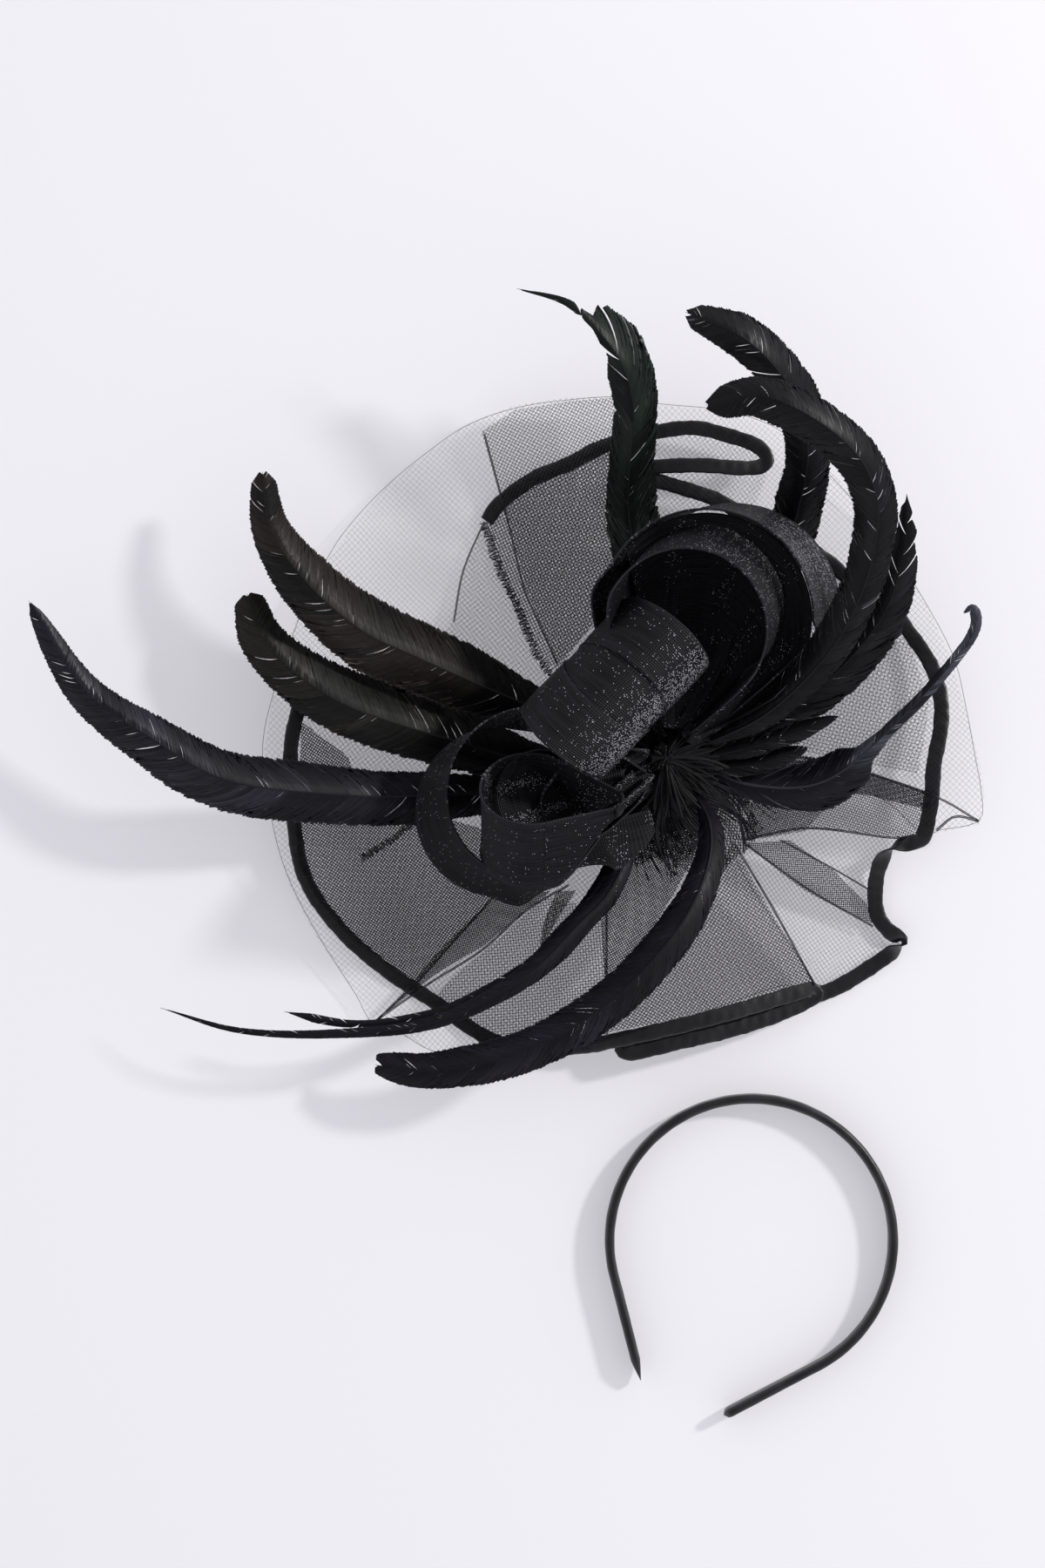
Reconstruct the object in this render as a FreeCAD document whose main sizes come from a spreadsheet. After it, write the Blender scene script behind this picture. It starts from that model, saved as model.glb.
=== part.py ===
import FreeCAD, Part
import Sketcher
import math
import os

# Fascinator headpiece: a round net brim with feathers and ribbon loops on a felt base that holds a
# sprung clip and a brooch pin, and the loose satin-covered headband that goes with it.
# Frame: X to the wearer's left edge of the brim, Y across it, +Z up out of the face of the brim.
# The origin is under the middle of the base, on the plane that the piece rests on.

doc = FreeCAD.newDocument("fascinator")
Vector = FreeCAD.Vector

SIZES = {
    "base_radius": 32,
    "base_thickness": 2,
    "base_bottom": 8,
    "knot_radius": 10,
    "knot_top": 31,
    "net_thickness": 0.8,
    "net_hole_radius": 12,
    "net_level": 11.2,
    "net_layer_gap": 2.2,
    "binding_width": 6,
    "binding_thickness": 1.8,
    "brim_low": 1,
    "brim_wave": 12,
    "brim_flat_radius": 36,
    "ribbon_thickness": 0.8,
    "barrel_radius": 22.5,
    "barrel_band": 21.3,
    "barrel_pitch": 21.8,
    "barrel_height": 45,
    "front_loop_big": 21,
    "front_loop_small": 6,
    "front_loop_length": 33,
    "front_loop_width": 38,
    "feather_thickness": 1.2,
    "quill_width": 2.4,
    "clip_plate_length": 46,
    "clip_plate_width": 11,
    "clip_plate_bottom": 7,
    "clip_metal": 0.8,
    "clip_jaw_width": 8,
    "clip_tab_length": 24,
    "clip_flat_reach": 4,
    "clip_tip_length": 22,
    "clip_tip_top": 6.7,
    "clip_pivot_height": 3.6,
    "clip_pin_radius": 0.8,
    "clip_hole_radius": 0.85,
    "clip_ear_half": 3,
    "spring_radius": 1.7,
    "spring_wire": 0.3,
    "spring_length": 4.4,
    "spring_pitch": 0.8,
    "brooch_offset": 17,
    "brooch_bar_length": 34,
    "brooch_bar_width": 6,
    "brooch_bar_bottom": 7.2,
    "brooch_pivot_back": 14,
    "brooch_pivot_height": 5.2,
    "brooch_rivet_radius": 0.6,
    "brooch_hole_radius": 0.65,
    "brooch_eye_radius": 1.5,
    "brooch_needle_radius": 0.45,
    "brooch_needle_length": 28.6,
    "headband_radius": 62.5,
    "headband_thickness": 4,
    "headband_width": 9,
    "headband_cover": 0.6,
    "headband_left_leg": 46,
    "headband_right_leg": 45,
    "headband_left_turn": 194.3,
    "headband_right_turn": -62.3,
}

sheet = doc.addObject("Spreadsheet::Sheet", "Sizes")
for row, (alias, value) in enumerate(SIZES.items(), start=1):
    sheet.set(f"A{row}", alias)
    sheet.set(f"B{row}", str(value))
    sheet.setAlias(f"B{row}", alias)
doc.recompute()


def size(alias):
    return float(sheet.get(alias))


def cell(text):
    """An expression in which every word that is a size's name reads the sheet."""
    words = text.replace("(", " ( ").replace(")", " ) ").split()
    return " ".join(f"Sizes.{word}" if word in SIZES else word for word in words)


# ---- helpers for bodies and sketches ----

def new_body(label):
    body = doc.addObject("PartDesign::Body", label)
    body.Label = label
    return body


def origin_plane(body, role):
    return next(plane for plane in body.Origin.OriginFeatures if plane.Role == role)


def new_sketch(body, role, offset=None):
    """A sketch on one of the body's own planes, raised along its normal by an expression."""
    sketch = body.newObject("Sketcher::SketchObject", f"{body.Name}_sketch")
    sketch.AttachmentSupport = (origin_plane(body, role), [""])
    sketch.MapMode = "FlatFace"
    if offset:
        sketch.setExpression("AttachmentOffset.Base.z", cell(offset))
    return sketch


def fix_point(sketch, geometry, point, across, along):
    """Places a point at two expressions measured from the sketch's origin."""
    for kind, expression in (("DistanceX", across), ("DistanceY", along)):
        index = sketch.addConstraint(Sketcher.Constraint(kind, -1, 1, geometry, point, 1.0))
        sketch.setExpression(f"Constraints[{index}]", cell(expression))


def draw_polygon(sketch, corners):
    """A closed outline of straight lines whose corners are pairs of expressions."""
    first = sketch.GeometryCount
    count = len(corners)
    rough = [Vector(10 * math.cos(2 * math.pi * i / count), 10 * math.sin(2 * math.pi * i / count), 0)
             for i in range(count)]
    for i in range(count):
        sketch.addGeometry(Part.LineSegment(rough[i], rough[(i + 1) % count]))
    for i in range(count):
        sketch.addConstraint(Sketcher.Constraint("Coincident", first + i, 2, first + (i + 1) % count, 1))
    for i, (across, along) in enumerate(corners):
        fix_point(sketch, first + i, 1, across, along)


def draw_box(sketch, left, right, low, high):
    draw_polygon(sketch, [(left, low), (right, low), (right, high), (left, high)])


def draw_circle(sketch, radius, across="0", along="0"):
    index = sketch.addGeometry(Part.Circle(Vector(0, 0, 0), Vector(0, 0, 1), 1.0))
    fix_point(sketch, index, 3, across, along)
    constraint = sketch.addConstraint(Sketcher.Constraint("Radius", index, 1.0))
    sketch.setExpression(f"Constraints[{constraint}]", cell(radius))


def pad(body, sketch, length, middle=False, reverse=False):
    feature = body.newObject("PartDesign::Pad", f"{body.Name}_pad")
    feature.Profile = sketch
    feature.setExpression("Length", cell(length))
    feature.SideType = "Symmetric" if middle else "One side"
    feature.Reversed = reverse
    body.Tip = feature
    return feature


def pocket_through(body, sketch):
    """Cuts a sketch right through the body, both ways."""
    feature = body.newObject("PartDesign::Pocket", f"{body.Name}_pocket")
    feature.Profile = sketch
    feature.Type = "ThroughAll"
    feature.SideType = "Symmetric"
    body.Tip = feature
    return feature


def add_shape(label, shape):
    feature = doc.addObject("Part::Feature", label)
    feature.Label = label
    feature.Shape = shape
    return feature


# ---- base, knot and findings under the base ----

def make_base():
    base = new_body("base_disc")
    sketch = new_sketch(base, "XY_Plane", "base_bottom")
    draw_circle(sketch, "base_radius")
    pad(base, sketch, "base_thickness")

    knot = new_body("centre_knot")
    profile = new_sketch(knot, "XZ_Plane")
    floor = "base_bottom + base_thickness"
    draw_polygon(profile, [
        ("0", floor),
        ("knot_radius * 0.9", floor),
        ("knot_radius", floor + " + 4"),
        ("knot_radius * 0.8", "knot_top - 5"),
        ("knot_radius * 0.5", "knot_top"),
        ("0", "knot_top"),
    ])
    turn = knot.newObject("PartDesign::Revolution", "knot_turn")
    turn.Profile = profile
    turn.ReferenceAxis = (profile, ["V_Axis"])
    turn.Angle = 360
    knot.Tip = turn
    return [base, knot]


def make_clip():
    """The sprung clip: a plate glued to the base, and a jaw that turns on a pin between its ears."""
    plate = new_body("clip_plate")
    sketch = new_sketch(plate, "XY_Plane", "clip_plate_bottom")
    half = "clip_plate_length / 2"
    draw_box(sketch, f"0 - {half}", half, "0 - clip_plate_width / 2", "clip_plate_width / 2")
    pad(plate, sketch, "base_bottom - clip_plate_bottom")
    ears = new_sketch(plate, "XZ_Plane")
    draw_box(ears, "0 - clip_ear_half", "clip_ear_half", "clip_pivot_height - 1.6", "clip_plate_bottom")
    pad(plate, ears, "clip_plate_width", middle=True)
    between = new_sketch(plate, "YZ_Plane")
    inner = "clip_plate_width / 2 - clip_metal"
    draw_box(between, f"0 - ( {inner} )", inner, "0", "clip_plate_bottom")
    pocket_through(plate, between)
    hole = new_sketch(plate, "XZ_Plane")
    draw_circle(hole, "clip_hole_radius", "0", "clip_pivot_height")
    pocket_through(plate, hole)

    jaw = new_body("clip_jaw")
    side = new_sketch(jaw, "XZ_Plane")
    draw_polygon(side, [
        ("0 - clip_tab_length", "0"),
        ("clip_flat_reach + 0.2", "0"),
        ("clip_tip_length", "clip_tip_top - clip_metal"),
        ("clip_tip_length", "clip_tip_top"),
        ("clip_flat_reach", "clip_metal"),
        ("0 - clip_tab_length", "clip_metal"),
    ])
    pad(jaw, side, "clip_jaw_width", middle=True)
    lugs = new_sketch(jaw, "XZ_Plane")
    draw_polygon(lugs, [
        ("-2.2", "clip_metal / 2"),
        ("2.2", "clip_metal / 2"),
        ("1.6", "clip_pivot_height + 1.6"),
        ("-1.6", "clip_pivot_height + 1.6"),
    ])
    pad(jaw, lugs, "clip_jaw_width", middle=True)
    gap = new_sketch(jaw, "XZ_Plane")
    draw_polygon(gap, [
        ("-3", "clip_metal"),
        ("3", "clip_metal"),
        ("3", "clip_pivot_height + 2"),
        ("-3", "clip_pivot_height + 2"),
    ])
    cut = jaw.newObject("PartDesign::Pocket", "jaw_gap")
    cut.Profile = gap
    cut.SideType = "Symmetric"
    cut.setExpression("Length", cell("clip_jaw_width - 2 * clip_metal"))
    jaw.Tip = cut
    jaw_hole = new_sketch(jaw, "XZ_Plane")
    draw_circle(jaw_hole, "clip_hole_radius", "0", "clip_pivot_height")
    pocket_through(jaw, jaw_hole)

    pin = new_body("clip_hinge_pin")
    pin_circle = new_sketch(pin, "XZ_Plane")
    draw_circle(pin_circle, "clip_pin_radius", "0", "clip_pivot_height")
    pad(pin, pin_circle, "clip_plate_width + 0.8", middle=True)

    coil = Part.makeHelix(size("spring_pitch"), size("spring_length"), size("spring_radius"))
    start = Vector(size("spring_radius"), 0, 0)
    wire = Part.Wire(Part.makeCircle(size("spring_wire"), start, Vector(0, 1, 0)))
    spring = add_shape("clip_spring", Part.Wire(coil.Edges).makePipeShell([wire], True, True))
    spring.Placement = FreeCAD.Placement(
        Vector(0, size("spring_length") / 2, size("clip_pivot_height")),
        FreeCAD.Rotation(Vector(1, 0, 0), 90))
    return [plate, jaw, pin, spring]


def make_brooch():
    """The brooch pin beside the clip: a bar with two ears, a needle on a rivet, and a catch."""
    bar = new_body("brooch_bar")
    low = "brooch_offset - brooch_bar_width / 2"
    high = "brooch_offset + brooch_bar_width / 2"
    plate = new_sketch(bar, "XY_Plane", "brooch_bar_bottom")
    draw_box(plate, "0 - brooch_bar_length / 2", "brooch_bar_length / 2", low, high)
    pad(bar, plate, "base_bottom - brooch_bar_bottom")
    for edge in ("brooch_offset - 2.4", "brooch_offset + 1.6"):
        ear = new_sketch(bar, "XZ_Plane", f"0 - ( {edge} )")
        draw_box(ear, "0 - brooch_pivot_back - 1.6", "1.6 - brooch_pivot_back",
                 "brooch_pivot_height - 1.5", "brooch_bar_bottom")
        pad(bar, ear, "clip_metal", reverse=True)
    hole = new_sketch(bar, "XZ_Plane")
    draw_circle(hole, "brooch_hole_radius", "0 - brooch_pivot_back", "brooch_pivot_height")
    pocket_through(bar, hole)

    rivet = new_body("brooch_rivet")
    circle = new_sketch(rivet, "XZ_Plane", "0 - brooch_offset + 2.8")
    draw_circle(circle, "brooch_rivet_radius", "0 - brooch_pivot_back", "brooch_pivot_height")
    pad(rivet, circle, "5.6", reverse=True)

    needle = new_body("brooch_pin")
    eye = new_sketch(needle, "XZ_Plane", "0 - brooch_offset + 1.2")
    draw_circle(eye, "brooch_eye_radius", "0 - brooch_pivot_back", "brooch_pivot_height")
    pad(needle, eye, "2.4", reverse=True)
    shank = new_sketch(needle, "YZ_Plane", "1 - brooch_pivot_back")
    draw_circle(shank, "brooch_needle_radius", "brooch_offset", "brooch_pivot_height")
    pad(needle, shank, "brooch_needle_length")
    eye_hole = new_sketch(needle, "XZ_Plane")
    draw_circle(eye_hole, "brooch_hole_radius", "0 - brooch_pivot_back", "brooch_pivot_height")
    pocket_through(needle, eye_hole)

    catch = new_body("brooch_catch")
    hook = new_sketch(catch, "YZ_Plane", "brooch_pivot_back - 2")
    draw_polygon(hook, [
        ("brooch_offset - 1.1", "brooch_pivot_height - 1"),
        ("brooch_offset - 0.6", "brooch_pivot_height - 1"),
        ("brooch_offset - 0.6", "brooch_bar_bottom - 0.6"),
        ("brooch_offset + 0.6", "brooch_bar_bottom - 0.6"),
        ("brooch_offset + 0.6", "brooch_pivot_height - 1"),
        ("brooch_offset + 1.1", "brooch_pivot_height - 1"),
        ("brooch_offset + 1.1", "brooch_bar_bottom"),
        ("brooch_offset - 1.1", "brooch_bar_bottom"),
    ])
    pad(catch, hook, "3")
    return [bar, rivet, needle, catch]


# ---- the brim: two layers of net, the lower one bound with satin ----

# Outlines as (angle in degrees, radius in mm) round the origin, at the turns of each edge.
BOUND_EDGE = [
    (0, 121), (26, 119), (45, 111), (60, 124), (72, 139), (90, 142), (108, 134), (127, 125),
    (140, 121), (155, 138), (170, 155), (182, 159), (200, 160), (215, 150), (228, 143), (240, 141),
    (252, 130), (264, 126), (284, 121), (298, 121), (310, 129), (321, 131), (330, 110), (342, 117),
]
OPEN_EDGE = [
    (0, 136), (20, 132), (40, 133), (58, 141), (75, 149), (97, 155), (115, 163), (135, 167),
    (160, 167), (180, 171), (200, 168), (222, 168), (236, 158), (250, 138), (268, 104), (290, 98),
    (315, 98), (332, 103), (350, 132),
]


def edge_radius(outline, angle):
    """The outline's radius at an angle, eased from each listed turn to the next."""
    angle = angle % 360
    closed = outline + [(outline[0][0] + 360, outline[0][1])]
    for (start, before), (end, after) in zip(closed, closed[1:]):
        if start <= angle <= end:
            share = (angle - start) / (end - start)
            return before + (after - before) * (1 - math.cos(math.pi * share)) / 2
    return outline[0][1]


def brim_height(angle, share):
    """The lower net's height: level at the base, waving in four lobes by the bound edge."""
    lobes = (1 - math.cos(math.radians(4 * (angle - 45)))) / 2
    rim = size("brim_low") + size("brim_wave") * lobes
    share = max(0.0, min(share, 1.0))
    ease = share * share * (3 - 2 * share)
    return size("net_level") + (rim - size("net_level")) * ease


def ring_sheet(inner, outer, lift, thickness):
    """A closed solid skin of the brim's wavy surface between two outlines, functions of angle."""
    samples = 90
    seam = 120
    angles = [seam + 360 * i / samples for i in range(samples + 1)]
    steps = [0, 0.15, 0.3, 0.45, 0.6, 0.8, 1]
    flat = size("brim_flat_radius")

    def layer(offset):
        rows = []
        for step in steps:
            row = []
            for angle in angles:
                radius = inner(angle) + (outer(angle) - inner(angle)) * step
                share = (radius - flat) / (edge_radius(BOUND_EDGE, angle) - flat)
                height = brim_height(angle, share) + lift + offset
                turn = math.radians(angle)
                row.append(Vector(radius * math.cos(turn), radius * math.sin(turn), height))
            rows.append(row)
        surface = Part.BSplineSurface()
        surface.interpolate(rows)
        return surface

    above = layer(thickness / 2)
    below = layer(-thickness / 2)
    faces = [above.toShape(), below.toShape()]
    first, last = above.bounds()[0], above.bounds()[1]
    for limit in (first, last):
        faces.append(Part.makeRuledSurface(above.uIso(limit).toShape(), below.uIso(limit).toShape()))
    shell = Part.Shell(faces)
    shell.sewShape()
    solid = Part.Solid(shell)
    if solid.Volume < 0:
        solid.reverse()
    return solid


def make_brim():
    hole = size("net_hole_radius")
    width = size("binding_width")
    net = size("net_thickness")

    def bound(angle):
        return edge_radius(BOUND_EDGE, angle)

    lower = ring_sheet(lambda angle: hole, lambda angle: bound(angle) - width - 0.3, 0, net)
    binding = ring_sheet(lambda angle: bound(angle) - width, bound, 0, size("binding_thickness"))
    upper = ring_sheet(lambda angle: hole, lambda angle: edge_radius(OPEN_EDGE, angle),
                       size("net_layer_gap"), net)
    return [
        add_shape("bound_net", lower),
        add_shape("satin_binding", binding),
        add_shape("open_net", upper),
    ]


# ---- ribbon loops ----

def ribbon_frame(origin, outward, across):
    """A placement whose X runs outward and whose Z runs across the ribbon's width."""
    depth = Vector(*across).normalize()
    out = Vector(*outward)
    out = (out - depth * out.dot(depth)).normalize()
    side = depth.cross(out)
    return FreeCAD.Placement(Vector(*origin), FreeCAD.Rotation(out, side, depth, "ZXY"))


def make_barrel():
    """Three bands side by side, arched over the middle of the bow."""
    along = Vector(0.692, 0.722, 0)
    middle = Vector(-21.4, 28.8, 0)
    bands = []
    for number, name in enumerate(("centre_band_left", "centre_band_middle", "centre_band_right")):
        band = new_body(name)
        sketch = new_sketch(band, "XY_Plane")
        draw_circle(sketch, "barrel_radius")
        draw_circle(sketch, "barrel_radius - ribbon_thickness")
        pad(band, sketch, "barrel_band", middle=True)
        centre = middle + along * (size("barrel_pitch") * (number - 1))
        centre.z = size("barrel_height")
        band.Placement = ribbon_frame(centre, (0, 0, 1), along)
        bands.append(band)
    return bands


def make_front_loop():
    """The teardrop loop in front: the outline round a large and a small circle, offset inwards."""
    loop = new_body("loop_left_front")
    sketch = new_sketch(loop, "XY_Plane")
    length = size("front_loop_length")
    for inset in (0, size("ribbon_thickness")):
        big = size("front_loop_big") - inset
        small = size("front_loop_small") - inset
        lean = math.acos((big - small) / length)
        first = sketch.GeometryCount
        axis = Vector(0, 0, 1)
        round_end = Part.Circle(Vector(length, 0, 0), axis, big)
        tied_end = Part.Circle(Vector(0, 0, 0), axis, small)
        turn = math.pi - lean
        sketch.addGeometry(Part.ArcOfCircle(round_end, -turn, turn))
        sketch.addGeometry(Part.ArcOfCircle(tied_end, turn, 2 * math.pi - turn))
        top = Vector(math.cos(turn), math.sin(turn), 0)
        bottom = Vector(top.x, -top.y, 0)
        outer_end = Vector(length, 0, 0)
        sketch.addGeometry(Part.LineSegment(outer_end + top * big, top * small))
        sketch.addGeometry(Part.LineSegment(bottom * small, outer_end + bottom * big))
        shrink = " - ribbon_thickness" if inset else ""
        fix_point(sketch, first, 3, "front_loop_length", "0")
        fix_point(sketch, first + 1, 3, "0", "0")
        for arc, radius in ((first, "front_loop_big"), (first + 1, "front_loop_small")):
            start = size(radius) - inset
            index = sketch.addConstraint(Sketcher.Constraint("Radius", arc, start))
            sketch.setExpression(f"Constraints[{index}]", cell(radius + shrink))
        for one, end, other, start in ((0, 2, 2, 1), (2, 2, 1, 1), (1, 2, 3, 1), (3, 2, 0, 1)):
            sketch.addConstraint(Sketcher.Constraint("Tangent", first + one, end, first + other, start))
    pad(loop, sketch, "front_loop_width")
    loop.Placement = ribbon_frame((-24, -17, 67), (-32, 8, 0), (0, -0.707, -0.707))
    return loop


# Open loops: name, rim centre (x, y, z), rim radius, first and last angle, run of the width (x, y, z).
OPEN_LOOPS = [
    ("loop_left_back", (-58, -17, 43), 36, 80, 280, (-11, -11, -22.5)),
    ("loop_right_front", (9, 54, 66), 34, -50, 165, (8, 11, -30)),
    ("loop_right_back", (16, 58, 52), 45, -18, 160, (13, 4, -25)),
]


def make_open_loop(label, centre, radius, first, last, run):
    """A band on edge whose lower rim is shifted from its upper rim, so that it flares outward."""
    sheet_rows = ((f"{label}_radius", radius), (f"{label}_width", Vector(*run).Length))
    for alias, value in sheet_rows:
        row = len(SIZES) + 1
        SIZES[alias] = value
        sheet.set(f"A{row}", alias)
        sheet.set(f"B{row}", f"{value:.2f}")
        sheet.setAlias(f"B{row}", alias)
    doc.recompute()
    loop = new_body(label)
    sketch = new_sketch(loop, "XY_Plane")
    start, end = math.radians(first), math.radians(last)
    thin = size("ribbon_thickness")
    axis = Vector(0, 0, 1)
    for reach in (radius, radius - thin):
        sketch.addGeometry(Part.ArcOfCircle(Part.Circle(Vector(), axis, reach), start, end))
    for angle in (start, end):
        ray = Vector(math.cos(angle), math.sin(angle), 0)
        sketch.addGeometry(Part.LineSegment(ray * (radius - thin), ray * radius))
    for arc, expression in ((0, f"{label}_radius"), (1, f"{label}_radius - ribbon_thickness")):
        fix_point(sketch, arc, 3, "0", "0")
        value = radius if arc == 0 else radius - thin
        index = sketch.addConstraint(Sketcher.Constraint("Radius", arc, value))
        sketch.setExpression(f"Constraints[{index}]", cell(expression))
    for line, arc_end in ((2, 1), (3, 2)):
        sketch.addConstraint(Sketcher.Constraint("Coincident", line, 1, 1, arc_end))
        sketch.addConstraint(Sketcher.Constraint("Coincident", line, 2, 0, arc_end))
        sketch.addConstraint(Sketcher.Constraint("PointOnObject", -1, 1, line))
    for line, angle in ((2, start), (3, end)):
        sketch.addConstraint(Sketcher.Constraint("Angle", line, angle))
    band = pad(loop, sketch, f"{label}_width")
    band.UseCustomVector = True
    band.Direction = Vector(*run)
    band.AlongSketchNormal = False
    loop.Placement = FreeCAD.Placement(Vector(*centre), FreeCAD.Rotation())
    return loop


# ---- feathers ----

# Each feather: name, greatest width, and the points of its quill from root to tip.
FEATHERS = [
    ("feather_left_long", 25, [(-14, -3, 15.5), (-60, -13, 15.5), (-102, -16, 18), (-132, -16, 27),
                               (-182, -10, 38), (-215, 8, 38), (-244, 29, 32), (-268, 66, 24)]),
    ("feather_left_middle", 25, [(-13, 1, 18), (-45, -4, 18), (-88, 7, 19.5), (-121, 17, 28),
                                 (-138, 24, 31), (-156, 36, 30), (-169, 50, 27), (-176, 69, 23)]),
    ("feather_left_upper", 24, [(-13, 4, 20.3), (-30, 10, 20.5), (-60, 23, 21), (-104, 42, 33),
                                (-127, 53, 37), (-149, 72, 38), (-165, 95, 34), (-169, 120, 30)]),
    ("feather_top", 17, [(-3, 14, 16), (-8, 50, 18), (-12, 83, 19.5), (-15, 104, 27),
                         (-15, 124, 46), (-14, 145, 60), (-21, 165, 66), (-40, 185, 66), (-62, 193, 60)]),
    ("feather_right_back", 17, [(5, 14, 16.5), (28, 55, 18), (50, 86, 19), (57, 107, 25),
                                (59, 124, 45), (56, 138, 62), (49, 152, 74), (31, 170, 78), (7, 182, 70)]),
    ("feather_right_arched", 17, [(14, 4, 24), (42, 18, 40), (66, 42, 57), (79, 66, 67), (84, 86, 76),
                                  (84, 104, 86), (75, 122, 93), (56, 137, 95), (35, 146, 90), (15, 143, 78)]),
    ("feather_right_side", 16, [(14, 1, 20), (38, 10, 27), (62, 27, 36), (80, 45, 46), (92, 64, 55),
                                (98, 89, 62), (98, 108, 66)]),
    ("feather_curled", 20, [(14, -3, 17), (40, -12, 18), (70, -9, 22), (102, 19, 30),
                            (122, 42, 38), (129, 54, 43), (128, 62, 44)]),
    ("feather_short_upper", 8, [(13, -1, 22.5), (42, 6, 32), (72, 17, 42)]),
    ("feather_short_lower", 8, [(13.5, -5, 20), (38, -3, 24), (60, 4, 31)]),
    ("feather_bottom_long", 17, [(10, -10, 19), (19, -28, 30), (17, -48, 38), (4, -73, 42),
                                 (-23, -102, 40), (-58, -123, 34), (-97, -132, 26), (-122, -130, 20)]),
    ("feather_bottom_thin", 5, [(-5, -14, 20), (-21, -53, 26), (-36, -70, 30), (-60, -93, 34),
                                (-97, -111, 34), (-139, -116, 32), (-179, -115, 26), (-213, -106, 18)]),
    ("feather_bottom_short", 4, [(-8, -13, 16), (-27, -55, 20), (-52, -84, 24), (-83, -102, 28),
                                 (-104, -109, 29), (-132, -112, 29), (-160, -107, 28)]),
]


def vane_share(share):
    """How much of the greatest width the vane has at a share of the quill's length."""
    if share < 0.2:
        return 0
    if share < 0.5:
        return math.sin(math.pi / 2 * (share - 0.2) / 0.3)
    return 1 - 0.75 * ((share - 0.5) / 0.5) ** 3


def make_feather(label, width, points):
    """A thin blade, diamond in section, that follows the quill and widens into the vane."""
    quill = Part.BSplineCurve()
    quill.interpolate([Vector(*point) for point in points])
    length = quill.length()
    stations = 13
    half_quill = size("quill_width") / 2
    half_thick = size("feather_thickness") / 2
    sections = []
    for station in range(stations):
        share = station / (stations - 1)
        knot = quill.parameterAtDistance(length * share, quill.FirstParameter)
        centre = quill.value(knot)
        forward = quill.tangent(knot)[0]
        side = Vector(-forward.y, forward.x, 0).normalize()
        up = forward.cross(side)
        half = half_quill + max(0, width / 2 - half_quill) * vane_share(share)
        thick = half_thick * (1 - 0.6 * share)
        ring = [centre + side * half, centre + up * thick, centre - side * half, centre - up * thick]
        sections.append(Part.makePolygon(ring + [ring[0]]))
    return add_shape(label, Part.makeLoft(sections, True, True))


# ---- the loose headband, standing on its edge ----

def headband_outline(sketch, inset):
    """The band's outline: an arc, a straight leg at each end, and the same again inside it."""
    outer = size("headband_radius") - inset
    inner = size("headband_radius") - size("headband_thickness") + inset
    start = math.radians(size("headband_right_turn"))
    end = math.radians(size("headband_left_turn"))
    legs = {start: size("headband_right_leg"), end: size("headband_left_leg")}
    axis = Vector(0, 0, 1)
    for reach in (outer, inner):
        sketch.addGeometry(Part.ArcOfCircle(Part.Circle(Vector(), axis, reach), start, end))
    for angle, sign in ((start, -1), (end, 1)):
        ray = Vector(math.cos(angle), math.sin(angle), 0)
        leg = Vector(-math.sin(angle), math.cos(angle), 0) * (sign * legs[angle])
        sketch.addGeometry(Part.LineSegment(ray * outer, ray * outer + leg))
        sketch.addGeometry(Part.LineSegment(ray * inner, ray * inner + leg))
        sketch.addGeometry(Part.LineSegment(ray * outer + leg, ray * inner + leg))
    cover = " - headband_cover" if inset else ""
    more = " + headband_cover" if inset else ""
    for arc, expression in ((0, "headband_radius" + cover),
                            (1, "headband_radius - headband_thickness" + more)):
        fix_point(sketch, arc, 3, "0", "0")
        index = sketch.addConstraint(Sketcher.Constraint("Radius", arc, outer if arc == 0 else inner))
        sketch.setExpression(f"Constraints[{index}]", cell(expression))
    for first, arc_end, alias in ((2, 1, "headband_right_leg"), (5, 2, "headband_left_leg")):
        sketch.addConstraint(Sketcher.Constraint("Tangent", 0, arc_end, first, 1))
        sketch.addConstraint(Sketcher.Constraint("Tangent", 1, arc_end, first + 1, 1))
        sketch.addConstraint(Sketcher.Constraint("Coincident", first, 2, first + 2, 1))
        sketch.addConstraint(Sketcher.Constraint("Coincident", first + 1, 2, first + 2, 2))
        sketch.addConstraint(Sketcher.Constraint("Perpendicular", first, first + 2))
        sketch.addConstraint(Sketcher.Constraint("Parallel", first, first + 1))
        index = sketch.addConstraint(Sketcher.Constraint("Distance", first, size(alias)))
        sketch.setExpression(f"Constraints[{index}]", cell(alias))


def make_headband():
    place = FreeCAD.Placement(Vector(38, -206, 0), FreeCAD.Rotation())
    core = new_body("headband_core")
    sketch = new_sketch(core, "XY_Plane", "headband_cover")
    headband_outline(sketch, size("headband_cover"))
    pad(core, sketch, "headband_width - 2 * headband_cover")
    core.Placement = place

    outside = new_body("headband_outside")
    outline = new_sketch(outside, "XY_Plane")
    headband_outline(outline, 0)
    pad(outside, outline, "headband_width")
    outside.Placement = place

    satin = doc.addObject("Part::Cut", "headband_satin")
    satin.Label = "headband_satin"
    satin.Base = outside
    satin.Tool = core
    return [core, satin]


pieces = make_base() + make_clip() + make_brooch() + make_brim() + make_barrel()
pieces.append(make_front_loop())
pieces += [make_open_loop(*loop) for loop in OPEN_LOOPS]
pieces += [make_feather(*feather) for feather in FEATHERS]
pieces += make_headband()
doc.recompute()

faults = [item.Label for item in doc.Objects if "Invalid" in item.State or "Error" in item.State]
if faults:
    raise RuntimeError(f"objects that failed: {faults}")
for piece in pieces:
    if piece.Shape.isNull() or not piece.Shape.isValid() or piece.Shape.Volume <= 0:
        raise RuntimeError(f"{piece.Label} has no valid solid")

os.makedirs("parts", exist_ok=True)
for piece in pieces:
    piece.Shape.exportStep(f"parts/{piece.Label}.step")
    print(f"{piece.Label}: {piece.Shape.Volume:.1f} mm3")
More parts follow.
